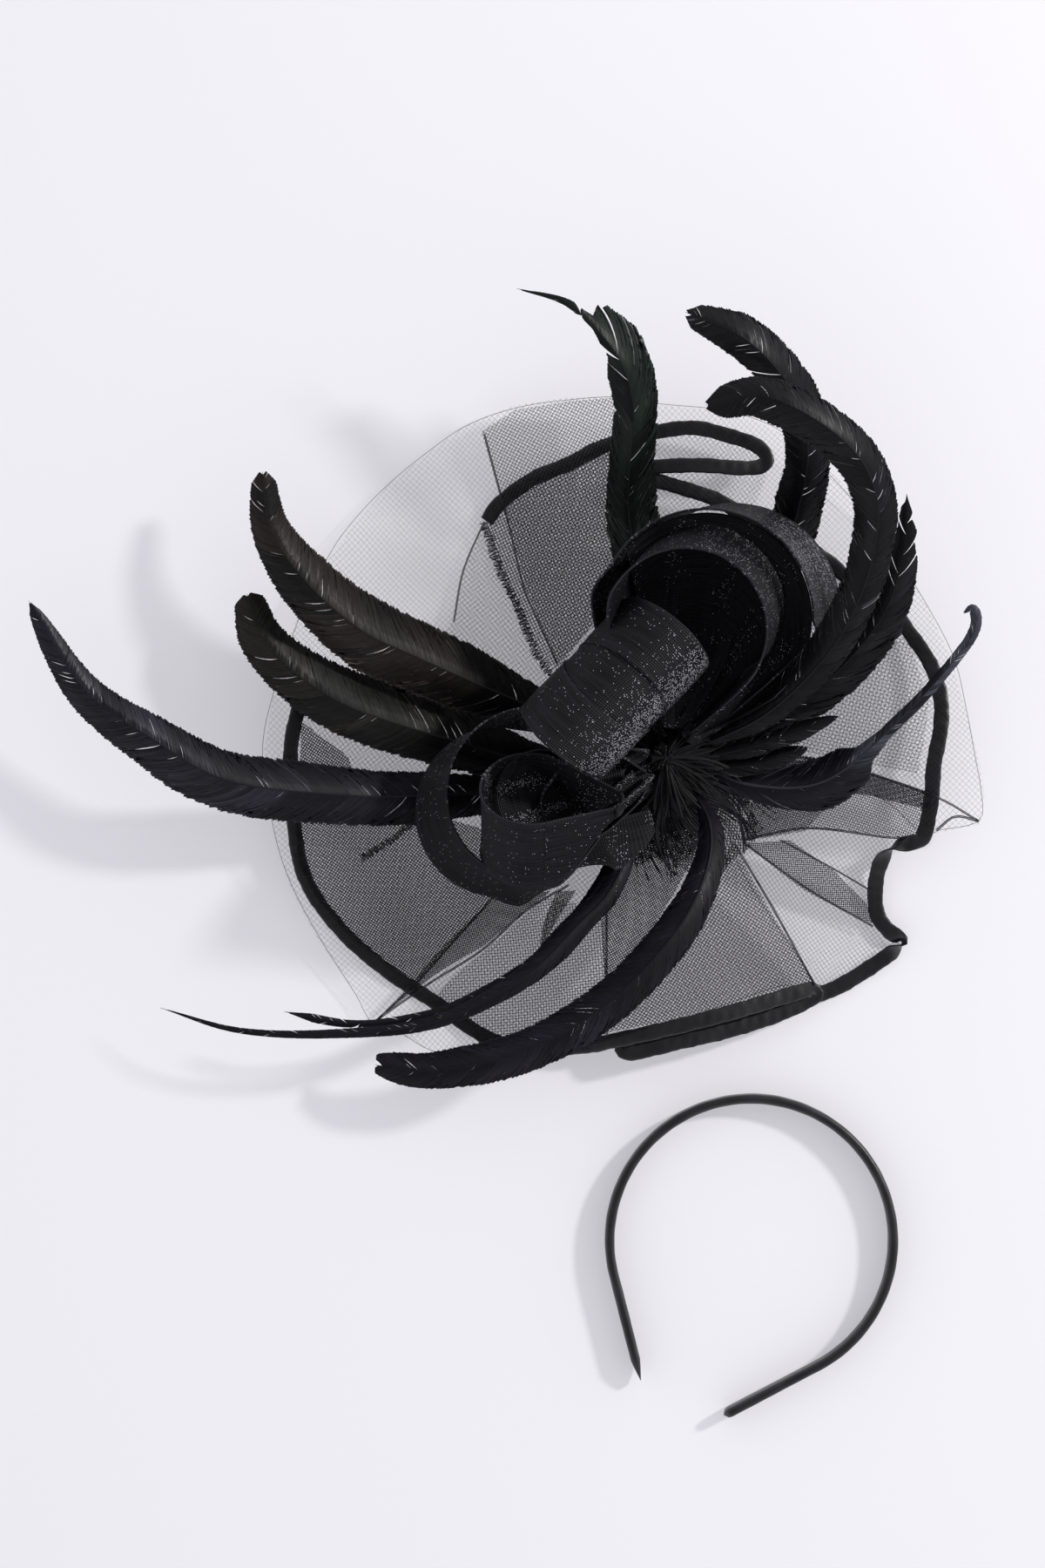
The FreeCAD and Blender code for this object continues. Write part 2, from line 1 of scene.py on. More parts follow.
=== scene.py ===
import math

import bpy
import numpy as np
from mathutils import Matrix, Vector


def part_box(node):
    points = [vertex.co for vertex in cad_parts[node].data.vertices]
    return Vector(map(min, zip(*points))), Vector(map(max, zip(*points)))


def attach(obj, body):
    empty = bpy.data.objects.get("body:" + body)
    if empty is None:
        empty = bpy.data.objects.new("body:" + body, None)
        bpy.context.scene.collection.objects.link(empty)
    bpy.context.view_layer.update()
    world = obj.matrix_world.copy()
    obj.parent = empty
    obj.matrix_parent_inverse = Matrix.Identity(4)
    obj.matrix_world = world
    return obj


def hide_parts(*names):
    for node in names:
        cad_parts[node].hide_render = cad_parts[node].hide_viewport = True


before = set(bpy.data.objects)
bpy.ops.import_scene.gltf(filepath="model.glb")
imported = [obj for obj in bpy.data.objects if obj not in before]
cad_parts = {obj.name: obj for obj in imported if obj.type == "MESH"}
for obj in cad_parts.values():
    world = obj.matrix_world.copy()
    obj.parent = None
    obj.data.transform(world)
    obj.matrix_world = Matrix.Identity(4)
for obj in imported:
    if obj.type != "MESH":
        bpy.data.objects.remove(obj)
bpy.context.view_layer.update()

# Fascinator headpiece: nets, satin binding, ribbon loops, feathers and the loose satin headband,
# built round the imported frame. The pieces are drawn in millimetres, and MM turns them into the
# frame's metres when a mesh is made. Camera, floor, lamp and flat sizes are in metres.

MM = 0.001

# ---- camera, straight down on the table ----

CAMERA_PLACE = (-0.0597, -0.0112, 1.6)
CAMERA_LENS = 85.8

def make_camera():
    data = bpy.data.cameras.new("camera")
    data.lens = CAMERA_LENS
    data.sensor_width = 36
    camera = bpy.data.objects.new("camera", data)
    camera.location = CAMERA_PLACE
    camera.rotation_euler = (0, 0, 0)
    bpy.context.scene.collection.objects.link(camera)
    bpy.context.scene.camera = camera


# ---- floor and light ----

FLOOR_COLOUR = (0.56, 0.555, 0.58, 1)
FLOOR_GLOW = (0.31, 0.305, 0.325, 1)
FLOOR_REACH = 30.0
# The key lamp's bearing and height in degrees, then its distance, size and power.
KEY_TURN = 24
KEY_HEIGHT = 31
KEY_DISTANCE = 2.4
KEY_SIZE = 0.24
KEY_POWER = 42
SKY_LOW = (1.70, 1.70, 1.76)
SKY_HIGH = (0.20, 0.20, 0.22)

def make_floor():
    mesh = bpy.data.meshes.new("floor")
    corners = [(x * FLOOR_REACH, y * FLOOR_REACH, 0) for x, y in ((-1, -1), (1, -1), (1, 1), (-1, 1))]
    mesh.from_pydata(corners, [], [(0, 1, 2, 3)])
    floor = bpy.data.objects.new("floor", mesh)
    floor.location.z = -0.0004
    bpy.context.scene.collection.objects.link(floor)
    material, _, _, shader = new_material("pale_table")
    shader.inputs["Base Color"].default_value = FLOOR_COLOUR
    shader.inputs["Emission Color"].default_value = FLOOR_GLOW
    shader.inputs["Emission Strength"].default_value = 1.0
    shader.inputs["Roughness"].default_value = 0.9
    shader.inputs["Specular IOR Level"].default_value = 0.1
    mesh.materials.append(material)


def make_lights():
    world = bpy.data.worlds.new("studio")
    world.use_nodes = True
    nodes, links = world.node_tree.nodes, world.node_tree.links
    place = nodes.new("ShaderNodeTexCoord")
    split = nodes.new("ShaderNodeSeparateXYZ")
    links.new(place.outputs["Generated"], split.inputs["Vector"])
    fade = blend_colours(nodes, links, split.outputs["Z"], SKY_LOW, SKY_HIGH)
    links.new(fade.outputs["Color"], nodes["Background"].inputs["Color"])
    bpy.context.scene.world = world
    turn, height = math.radians(KEY_TURN), math.radians(KEY_HEIGHT)
    toward = Vector((math.cos(turn) * math.cos(height), math.sin(turn) * math.cos(height), math.sin(height)))
    key = bpy.data.lights.new("key", "AREA")
    key.shape = "DISK"
    key.size = KEY_SIZE
    key.energy = KEY_POWER
    key.color = (1.0, 0.98, 0.95)
    lamp = bpy.data.objects.new("key", key)
    lamp.location = toward * KEY_DISTANCE
    lamp.rotation_mode = "QUATERNION"
    lamp.rotation_quaternion = toward.to_track_quat("Z", "Y")
    bpy.context.scene.collection.objects.link(lamp)
    scene = bpy.context.scene
    scene.view_settings.view_transform = "Standard"
    scene.view_settings.look = "None"
    scene.view_settings.exposure = 0
    scene.view_settings.gamma = 1


# ---- materials ----

def new_material(name):
    material = bpy.data.materials.new(name)
    material.use_nodes = True
    nodes, links = material.node_tree.nodes, material.node_tree.links
    return material, nodes, links, nodes["Principled BSDF"]


def mapped(nodes, links, scale, source=None):
    """Texture coordinates stretched by scale, in the piece's own space or from the source given."""
    stretch = nodes.new("ShaderNodeMapping")
    stretch.inputs["Scale"].default_value = scale
    source = source or nodes.new("ShaderNodeTexCoord").outputs["Object"]
    links.new(source, stretch.inputs["Vector"])
    return stretch.outputs["Vector"]


def noise_value(nodes, links, scale, detail, vector):
    noise = nodes.new("ShaderNodeTexNoise")
    noise.inputs["Scale"].default_value = scale
    noise.inputs["Detail"].default_value = detail
    links.new(vector, noise.inputs["Vector"])
    return noise.outputs["Fac"]


def feed(links, socket, value):
    """Links an output to a socket, or sets a plain value on it."""
    if isinstance(value, bpy.types.NodeSocket):
        links.new(value, socket)
    else:
        socket.default_value = value


def maths(nodes, links, operation, *values):
    node = nodes.new("ShaderNodeMath")
    node.operation = operation
    for socket, value in zip(node.inputs, values):
        feed(links, socket, value)
    return node.outputs[0]


def mix_colours(nodes, links, factor, first, second, blend="MIX"):
    node = nodes.new("ShaderNodeMix")
    node.data_type = "RGBA"
    node.blend_type = blend
    for name, value in (("Factor", factor), ("A", first), ("B", second)):
        feed(links, node.inputs[name], value)
    return node.outputs["Result"]


def blend_colours(nodes, links, factor, low, high, start=0.0, end=1.0):
    """A colour ramp from low at start to high at end."""
    ramp = nodes.new("ShaderNodeValToRGB")
    for element, colour, place in zip(ramp.color_ramp.elements, (low, high), (start, end)):
        element.color = (*colour, 1)
        element.position = place
    links.new(factor, ramp.inputs["Fac"])
    return ramp


def add_bump(nodes, links, shader, height, strength, distance):
    bump = nodes.new("ShaderNodeBump")
    bump.inputs["Strength"].default_value = strength
    bump.inputs["Distance"].default_value = distance
    links.new(height, bump.inputs["Height"])
    links.new(bump.outputs["Normal"], shader.inputs["Normal"])


def grey(value):
    return (value, value, value)


def make_net_material(name, cover):
    """Nylon thread: near black, shiny in places; cover is how much of the light it stops."""
    material, nodes, links, shader = new_material(name)
    shader.inputs["Alpha"].default_value = cover
    noise = noise_value(nodes, links, 260, 3, mapped(nodes, links, (1, 1, 1)))
    tone = blend_colours(nodes, links, noise, (0.004, 0.004, 0.006), (0.030, 0.029, 0.036), 0.35, 0.75)
    gloss = blend_colours(nodes, links, noise, grey(0.55), grey(0.22))
    links.new(tone.outputs["Color"], shader.inputs["Base Color"])
    links.new(gloss.outputs["Color"], shader.inputs["Roughness"])
    shader.inputs["Specular IOR Level"].default_value = 0.6
    return material


def make_ribbon_material():
    """Stiff woven crin: lengthwise threads, finer cross threads, lighter edges, and bright specks that are
    painted highlights, glints off the threads.
    """
    material, nodes, links, shader = new_material("crin_ribbon")
    place = nodes.new("ShaderNodeUVMap")
    place.uv_map = "weave"
    split = nodes.new("ShaderNodeSeparateXYZ")
    links.new(place.outputs["UV"], split.inputs["Vector"])

    def wave(source, period):
        sine = maths(nodes, links, "SINE", maths(nodes, links, "MULTIPLY", source, 2 * math.pi / period))
        rise = nodes.new("ShaderNodeMapRange")
        rise.inputs["From Min"].default_value = -1
        links.new(sine, rise.inputs["Value"])
        return rise.outputs["Result"]

    def mark(name):
        node = nodes.new("ShaderNodeAttribute")
        node.attribute_name = name
        return node.outputs["Fac"]

    warp = wave(split.outputs["Y"], 0.95)
    weft = wave(split.outputs["X"], 1.25)
    weave = maths(nodes, links, "MULTIPLY_ADD", weft, 0.45, warp)
    streak = noise_value(nodes, links, 1, 4, mapped(nodes, links, (0.04, 1.1, 1), place.outputs["UV"]))
    tone = blend_colours(nodes, links, streak, (0.001, 0.001, 0.002), (0.016, 0.016, 0.020), 0.3, 0.72)
    weave_tone = blend_colours(nodes, links, weave, grey(0.25), grey(1))
    woven = mix_colours(nodes, links, 0.75, tone.outputs["Color"], weave_tone.outputs["Color"], "MULTIPLY")

    # Painted highlights: weave cells picked by the glint mark are painted near white, as glints off the
    # threads where the light catches each band.
    cells = nodes.new("ShaderNodeTexVoronoi")
    cells.inputs["Scale"].default_value = 1
    cells.inputs["Randomness"].default_value = 0.22
    links.new(mapped(nodes, links, (2.4, 1.9, 1), place.outputs["UV"]), cells.inputs["Vector"])
    pick = nodes.new("ShaderNodeSeparateColor")
    links.new(cells.outputs["Color"], pick.inputs["Color"])
    limit = maths(nodes, links, "SUBTRACT", 1, mark("glint"))
    chosen = maths(nodes, links, "GREATER_THAN", pick.outputs["Red"], limit)
    small = maths(nodes, links, "LESS_THAN", cells.outputs["Distance"], 0.36)
    painted_glint_speck = maths(nodes, links, "MULTIPLY", chosen, small)
    lit = mix_colours(nodes, links, painted_glint_speck, woven, (0.50, 0.50, 0.54, 1))
    border = maths(nodes, links, "MULTIPLY", mark("selvage"), 0.7)
    edged = mix_colours(nodes, links, border, lit, (0.018, 0.018, 0.022, 1))
    links.new(edged, shader.inputs["Base Color"])
    shader.inputs["Roughness"].default_value = 0.5
    shader.inputs["Specular IOR Level"].default_value = 0.12
    add_bump(nodes, links, shader, weave, 0.6, 0.0004)
    return material


def make_satin_material(name, base, sheen, roughness):
    """Woven satin: dark, with a soft broad highlight and faint lengthwise creases."""
    material, nodes, links, shader = new_material(name)
    noise = noise_value(nodes, links, 90, 5, mapped(nodes, links, (1, 1, 1)))
    # Random patches painted from the base colour toward the lighter sheen colour: painted sheen.
    tone = blend_colours(nodes, links, noise, base, sheen, 0.4, 0.85)
    links.new(tone.outputs["Color"], shader.inputs["Base Color"])
    weave = noise_value(nodes, links, 1400, 2, mapped(nodes, links, (1, 1, 0.3)))
    shader.inputs["Roughness"].default_value = roughness
    shader.inputs["Specular IOR Level"].default_value = 0.45
    shader.inputs["Sheen Weight"].default_value = 0.08
    add_bump(nodes, links, shader, weave, 0.35, 0.0002)
    return material


def make_feather_material(name, low, high, glint=0.0):
    """Barbs: near black, tinted towards the vane's margin, with a silky gloss along each barb."""
    material, nodes, links, shader = new_material(name)
    place = nodes.new("ShaderNodeUVMap")
    place.uv_map = "barb"
    split = nodes.new("ShaderNodeSeparateXYZ")
    links.new(place.outputs["UV"], split.inputs["Vector"])
    tone = blend_colours(nodes, links, split.outputs["Y"], low, high, 0.25)
    # Painted highlight: barbs whose value reaches the top of the ramp get the near-white glint colour.
    if glint:
        bright = tone.color_ramp.elements.new(1)
        bright.position = 0.97
        bright.color = (glint, glint, glint * 1.05, 1)
        tone.color_ramp.elements[1].position = 0.92
    links.new(tone.outputs["Color"], shader.inputs["Base Color"])
    gloss = blend_colours(nodes, links, split.outputs["Y"], grey(0.62), grey(0.33))
    links.new(gloss.outputs["Color"], shader.inputs["Roughness"])
    shader.inputs["Specular IOR Level"].default_value = 0.2
    return material


def make_plain_material(name, colour, metal, roughness, grain, depth):
    """A hard or felted part with a fine grain of its own."""
    material, nodes, links, shader = new_material(name)
    noise = noise_value(nodes, links, grain, 6, mapped(nodes, links, (1, 1, 1)))
    dark = tuple(c * 0.7 for c in colour)
    tone = blend_colours(nodes, links, noise, dark, colour)
    links.new(tone.outputs["Color"], shader.inputs["Base Color"])
    shader.inputs["Metallic"].default_value = metal
    shader.inputs["Roughness"].default_value = roughness
    add_bump(nodes, links, shader, noise, 0.4, depth)
    return material


# ---- mesh helpers ----

def make_piece(name, points, faces, material, body, uv=None, marks=(), smooth=True):
    """A mesh from point and face tables in millimetres, riding on a body."""
    mesh = bpy.data.meshes.new(name)
    points = np.asarray(points, float) * MM
    faces = np.asarray(faces, int)
    sides = faces.shape[1]
    mesh.vertices.add(len(points))
    mesh.vertices.foreach_set("co", points.ravel())
    mesh.loops.add(faces.size)
    mesh.loops.foreach_set("vertex_index", faces.ravel())
    mesh.polygons.add(len(faces))
    mesh.polygons.foreach_set("loop_start", np.arange(len(faces)) * sides)
    mesh.polygons.foreach_set("loop_total", np.full(len(faces), sides))
    mesh.polygons.foreach_set("use_smooth", np.full(len(faces), smooth))
    if uv is not None:
        label, table = uv
        layer = mesh.uv_layers.new(name=label)
        layer.data.foreach_set("uv", np.asarray(table, float)[faces.ravel()].ravel())
    for label, values in marks:
        layer = mesh.attributes.new(label, "FLOAT", "POINT")
        layer.data.foreach_set("value", np.asarray(values, np.float32))
    mesh.update(calc_edges=True)
    mesh.validate()
    mesh.materials.append(material)
    piece = bpy.data.objects.new(name, mesh)
    bpy.context.scene.collection.objects.link(piece)
    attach(piece, body)
    return piece


def smooth_path(points, count):
    """A Catmull-Rom curve through the points, resampled to count evenly spaced points."""
    points = np.asarray(points, float)
    ends = np.vstack([2 * points[0] - points[1], points, 2 * points[-1] - points[-2]])
    fine = []
    for index in range(len(points) - 1):
        a, b, c, d = ends[index:index + 4]
        for t in np.linspace(0, 1, 24, endpoint=False):
            fine.append(0.5 * (2 * b + (c - a) * t + (2 * a - 5 * b + 4 * c - d) * t * t
                               + (3 * b - 3 * c + d - a) * t ** 3))
    fine.append(points[-1])
    fine = np.array(fine)
    run = np.r_[0, np.cumsum(np.linalg.norm(np.diff(fine, axis=0), axis=1))]
    wanted = np.linspace(0, run[-1], count)
    return np.column_stack([np.interp(wanted, run, fine[:, axis]) for axis in range(fine.shape[1])])


def directions(path):
    tangent = np.gradient(path, axis=0)
    return tangent / np.linalg.norm(tangent, axis=1)[:, None]


def run_length(path):
    return float(np.linalg.norm(np.diff(path, axis=0), axis=1).sum())


def loft(rings, closed_ends=True):
    """Points and faces of a tube through rings, an array of ring x point x 3."""
    rows, count = rings.shape[:2]
    grid = np.arange(rows * count).reshape(rows, count)
    a, b = grid[:-1], grid[1:]
    faces = np.stack([a, np.roll(a, -1, 1), np.roll(b, -1, 1), b], axis=-1).reshape(-1, 4)
    points = rings.reshape(-1, 3)
    if closed_ends:
        caps = []
        for row, flip in ((0, True), (rows - 1, False)):
            middle = len(points)
            points = np.vstack([points, rings[row].mean(0)])
            for index in range(0, count, 2):
                quad = [grid[row, index], grid[row, (index + 1) % count],
                        grid[row, (index + 2) % count], middle]
                caps.append(quad[::-1] if flip else quad)
        faces = np.vstack([faces, caps])
    return points, faces


def eased(value):
    value = np.clip(value, 0, 1)
    return value * value * (3 - 2 * value)


# ---- the brim's wavy surface ----

BRIM_EDGE = [
    (0, 121), (26, 119), (45, 111), (60, 124), (72, 139), (90, 142), (108, 134), (127, 125),
    (140, 121), (155, 138), (170, 155), (182, 159), (200, 160), (215, 150), (228, 143), (240, 141),
    (252, 130), (264, 126), (284, 121), (298, 121), (310, 129), (321, 131), (330, 110), (342, 117),
    (360, 121),
]
BRIM_LEVEL = 11.2
BRIM_LOW = 1.0
BRIM_WAVE = 12.0
BRIM_FLAT = 36
NET_GAP = 2.2
NET_HOLE = 12

def brim_height(x, y):
    """Height of the lower net above the table, level at the base and waving by its edge."""
    angle = np.degrees(np.arctan2(y, x)) % 360
    turns, reaches = np.array(BRIM_EDGE, float).T
    edge = np.interp(angle, turns, reaches)
    lobes = (1 - np.cos(np.radians(4 * (angle - 45)))) / 2
    share = eased((np.hypot(x, y) - BRIM_FLAT) / (edge - BRIM_FLAT))
    return BRIM_LEVEL + (BRIM_LOW + BRIM_WAVE * lobes - BRIM_LEVEL) * share


# ---- nets, thread by thread ----

def crossings(start, step, outline):
    """Distances along a line at which it enters and leaves an outline."""
    corners = np.asarray(outline, float)
    following = np.roll(corners, -1, 0)
    normal = np.array([-step[1], step[0]])
    before = (corners - start) @ normal
    after = (following - start) @ normal
    cut = (before > 0) != (after > 0)
    share = before[cut] / (before[cut] - after[cut])
    places = corners[cut] + (following[cut] - corners[cut]) * share[:, None]
    return np.sort((places - start) @ step)


def less_hole(low, high, start, step, radius):
    """The stretches from low to high that stay outside a circle at the origin."""
    nearest = -(start @ step)
    aside = radius ** 2 - (start @ start - nearest ** 2)
    if aside <= 0:
        return [(low, high)]
    half = math.sqrt(aside)
    parts = [(low, min(high, nearest - half)), (max(low, nearest + half), high)]
    return [(a, b) for a, b in parts if b - a > 0.5]


def thread_prism(path, width, tall):
    """Points and faces of a three-sided thread along a path."""
    along = directions(path)
    side = np.column_stack([-along[:, 1], along[:, 0], np.zeros(len(path))])
    side /= np.maximum(np.linalg.norm(side, axis=1), 1e-9)[:, None]
    up = np.array([0, 0, tall])
    rings = np.stack([path - side * width / 2, path + side * width / 2, path + up], axis=1)
    points = rings.reshape(-1, 3)
    grid = np.arange(len(points)).reshape(-1, 3)
    a, b = grid[:-1], grid[1:]
    quads = np.stack([a, np.roll(a, -1, 1), np.roll(b, -1, 1), b], axis=-1).reshape(-1, 4)
    faces = np.vstack([quads[:, [0, 1, 2]], quads[:, [0, 2, 3]], [grid[0][::-1]], [grid[-1]]])
    return points, faces


def gather(parts):
    """Joins (points, faces) pairs into one table of each."""
    points, faces, count = [], [], 0
    for some, table in parts:
        points.append(some)
        faces.append(np.asarray(table) + count)
        count += len(some)
    return np.vstack(points), np.vstack(faces)


NET_OPENING = 88
THREAD_STEP = 6.0
SHORTEST_THREAD = 1.0

def net_threads(outline, turn, pitch, width, tall, lift, hole=NET_HOLE):
    """Two families of threads that cross to make a net over the brim, inside an outline."""
    corners = np.asarray(outline, float)
    middle = corners.mean(0)
    reach = np.linalg.norm(corners - middle, axis=1).max() + 2
    parts = []
    for family, sign in enumerate((-1, 1)):
        angle = math.radians(turn + sign * NET_OPENING / 2)
        along = np.array([math.cos(angle), math.sin(angle)])
        across = np.array([-along[1], along[0]])
        for offset in np.arange(-reach, reach, pitch):
            start = middle + across * offset
            cuts = crossings(start, along, corners)
            for low, high in zip(cuts[::2], cuts[1::2]):
                for a, b in less_hole(low, high, start, along, hole):
                    if b - a < SHORTEST_THREAD:
                        continue
                    count = max(2, int(math.ceil((b - a) / THREAD_STEP)) + 1)
                    flat = start + np.linspace(a, b, count)[:, None] * along
                    x, y = flat.T
                    x2 = x + 0.9 * np.sin(y / 17 + lift) + 0.5 * np.sin(x / 9 + y / 23)
                    y2 = y + 0.9 * np.sin(x / 19 + 2 * lift) + 0.5 * np.sin(y / 11 - x / 29)
                    z = brim_height(x2, y2) + lift + 0.12 * family
                    parts.append(thread_prism(np.column_stack([x2, y2, z]), width, tall))
    return parts


def edge_threads(line, lift, width, strands=2):
    """A fold or raw edge: a few threads lying close together along a line."""
    parts = []
    for strand in range(strands):
        path = smooth_path(line, max(8, int(run_length(np.asarray(line, float)) / 4)))
        shift = (strand - (strands - 1) / 2) * width * 1.2
        side = directions(path)
        x = path[:, 0] - side[:, 1] * shift
        y = path[:, 1] + side[:, 0] * shift
        z = brim_height(x, y) + lift
        parts.append(thread_prism(np.column_stack([x, y, z]), width, width))
    return parts


OPEN_OUTLINE = [
    (-155, 59), (-165, 29), (-170, 2), (-165, -32), (-158, -54), (-146, -77), (-131, -101),
    (-124, -113), (-111, -118), (-101, -124), (-82, -131), (-63, -134), (-43, -127), (-18, -118),
    (14, -109), (51, -97), (65, -97), (29, -38), (42, -6), (88, -15), (111, -33), (116, -31),
    (134, -27), (135, -15), (132, 2), (129, 19), (124, 42), (114, 63), (102, 83), (90, 100),
    (73, 119), (53, 137), (39, 144), (21, 148), (-1, 150), (-19, 153), (-40, 152), (-62, 149),
    (-83, 142), (-101, 130), (-118, 116), (-133, 100), (-143, 85),
]
BOUND_OUTLINE = [
    (-155, 20), (-158, 5), (-157, -26), (-154, -46), (-147, -61), (-133, -78), (-115, -93),
    (-98, -104), (-76, -119), (-60, -123), (-36, -122), (-20, -117), (8, -112), (35, -104),
    (56, -98), (68, -102), (77, -97), (90, -89), (104, -79), (97, -74), (92, -67), (91, -56),
    (93, -45), (98, -36), (107, -35), (112, -36), (114, -17), (115, -3), (119, 13), (118, 26),
    (114, 40), (105, 54), (96, 66), (78, 78), (59, 92), (38, 103), (44, 119), (46, 128), (42, 133),
    (27, 137), (-4, 138), (-26, 132), (-40, 125), (-55, 119), (-69, 109), (-76, 101), (-85, 80),
    (-89, 58), (-97, 41), (-123, 37), (-147, 35),
]


def lobed(radius, depth, lobes, turn):
    """A scalloped ring of points round the knot."""
    angles = np.radians(np.arange(0, 360, 6))
    reach = radius + depth * np.sin(lobes * angles + turn) + 0.5 * depth * np.sin(2.3 * lobes * angles)
    return [(r * math.cos(a), r * math.sin(a)) for r, a in zip(reach, angles)]


# Second layers of the lower net: outline, turn of the weave, lift, thread pitch and width.
DOUBLES = {
    "upper": ([(-76, 101), (-69, 109), (-55, 119), (-40, 125), (-26, 132), (-15, 130), (-10, 78),
               (-23, 63), (-45, 37), (-60, 56), (-69, 80)], 70, 1.1, 1.3, 0.34),
    # The left layer's close, wide threads are partly painted shade: besides the double layer, they darken the
    # net where the loops' shadow falls.
    "left": ([(-155, 15), (-156, -26), (-154, -46), (-147, -60), (-133, -78), (-115, -93),
              (-105, -97), (-72, -59), (-60, -33), (-92, -26), (-126, -26), (-134, 0)],
             12, 1.0, 1.05, 0.42),
    "bottom": ([(-24, -118), (-23, -96), (0, -80), (20, -52), (30, -36), (65, -97), (56, -98),
                (35, -103), (8, -112), (-20, -117)], 15, 1.0, 1.2, 0.34),
    "lower": ([(-49, -58), (-26, -66), (-23, -117), (-36, -121), (-60, -121), (-75, -117), (-97, -102),
               (-90, -94), (-72, -78)], 50, 0.9, 1.2, 0.26),
    "right": ([(69, 77), (91, 63), (106, 46), (112, 23), (108, -8), (80, -2), (60, 4), (46, 20),
               (63, 51)], 30, 1.0, 1.5, 0.20),
    "middle": (lobed(50, 6, 5, 0.4), 40, 1.2, 1.2, 0.34),
    "middle_upper": (lobed(40, 7, 4, 2.0), 66, 3.4, 1.1, 0.34),
}
# Pleats and folds, dense and dark.
PLEATS = {
    "upper_fold": ([(-76, 138), (-62, 148), (-40, 152), (-19, 153), (-15, 129), (-10, 77), (-23, 63),
                    (-45, 40), (-53, 58), (-59, 72), (-65, 97), (-69, 112)], 20, 3.2, 1.3, 0.24),
    "dart": ([(-122, -112), (-105, -96), (-86, -75), (-72, -59), (-47, -56), (-58, -65),
              (-77, -82), (-99, -96)], 34, 3.4, 0.75, 0.38),
    "small_dart": ([(-45, -56), (-37, -56), (-45, -70), (-52, -85), (-50, -70)], 60, 3.6, 0.75, 0.36),
    "glossy_fold": ([(-26, -63), (-23, -48), (-8, -22), (11, -26), (14, -41), (5, -59), (-8, -78),
                     (-24, -93)], 75, 3.2, 0.9, 0.38),
    "right_pleat": ([(34, -35), (42, 1), (76, -4), (114, -16), (112, -36), (97, -34), (62, -30)],
                    25, 1.2, 1.0, 0.27),
    "right_dark": ([(44, 3), (79, -2), (115, -16), (113, -22), (88, -16), (59, -13)], 5, 3.0, 0.75, 0.36),
    "right_band": ([(34, -36), (55, -35), (74, -48), (88, -63), (90, -72), (62, -56), (44, -43)],
                   40, 1.4, 0.85, 0.32),
    "right_root": ([(34, -35), (42, 1), (60, -2), (70, -20), (60, -31)], 62, 4.2, 0.8, 0.24),
}
# Fold lines: points, lift, thread width.
FOLD_LINES = [
    ([(-76, 138), (-69, 112), (-65, 97), (-59, 72), (-53, 58), (-45, 40)], 3.4, 0.40),
    ([(-76, 101), (-85, 80), (-89, 58)], 1.4, 0.35),
    ([(-24, -118), (-24, -93), (-24, -63)], 3.4, 0.40),
    ([(30, -36), (48, -66), (65, -97)], 3.2, 0.45),
    ([(34, -36), (62, -56), (90, -72)], 2.4, 0.40),
    ([(50, -35), (74, -48), (91, -58)], 2.4, 0.35),
    ([(42, -1), (76, -4), (114, -16), (134, -27)], 3.3, 0.45),
    ([(34, -35), (62, -30), (97, -34), (111, -33)], 2.4, 0.45),
    ([(-122, -112), (-99, -96), (-77, -82), (-58, -65), (-40, -54)], 3.8, 0.45),
    ([(-122, -112), (-105, -96), (-86, -75), (-72, -59)], 3.8, 0.40),
    ([(116, -31), (124, -25), (134, -27)], 2.4, 0.5),
]


def outline_area(outline):
    x, y = np.asarray(outline, float).T
    return abs(np.dot(x, np.roll(y, -1)) - np.dot(y, np.roll(x, -1))) / 2


def make_net(name, parts, finish, replaced):
    """One net piece from its threads."""
    points, faces = gather(parts)
    points[:, 2] = np.maximum(points[:, 2], 0.1)
    net = make_piece(name, points, faces, MATERIAL[finish], "fascinator", smooth=False)
    if replaced:
        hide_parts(replaced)
    return net


def make_nets():
    open_threads = net_threads(OPEN_OUTLINE, 92, 1.85, 0.115, 0.245, NET_GAP)
    open_threads += edge_threads(OPEN_OUTLINE + OPEN_OUTLINE[:1], NET_GAP, 0.28, strands=1)
    wide = make_net("open_net_layer", open_threads, "sheer_net",
                    "open_net")
    lower = make_net("bound_net_layer", net_threads(BOUND_OUTLINE, 80, 1.6, 0.14, 0.23, 0), "fine_net",
                     "bound_net")
    for name, table, lines in (("net_double", DOUBLES, []), ("net_pleats", PLEATS, FOLD_LINES)):
        parts, area = [], 0
        for outline, turn, lift, pitch, width in table.values():
            parts += net_threads(outline, turn, pitch, width, width * 1.1, lift, hole=0)
            area += outline_area(outline)
        for line, lift, width in lines:
            parts += edge_threads(line, lift, width)
        make_net(name, parts, "net",
                 None)


# ---- satin binding round the lower net ----

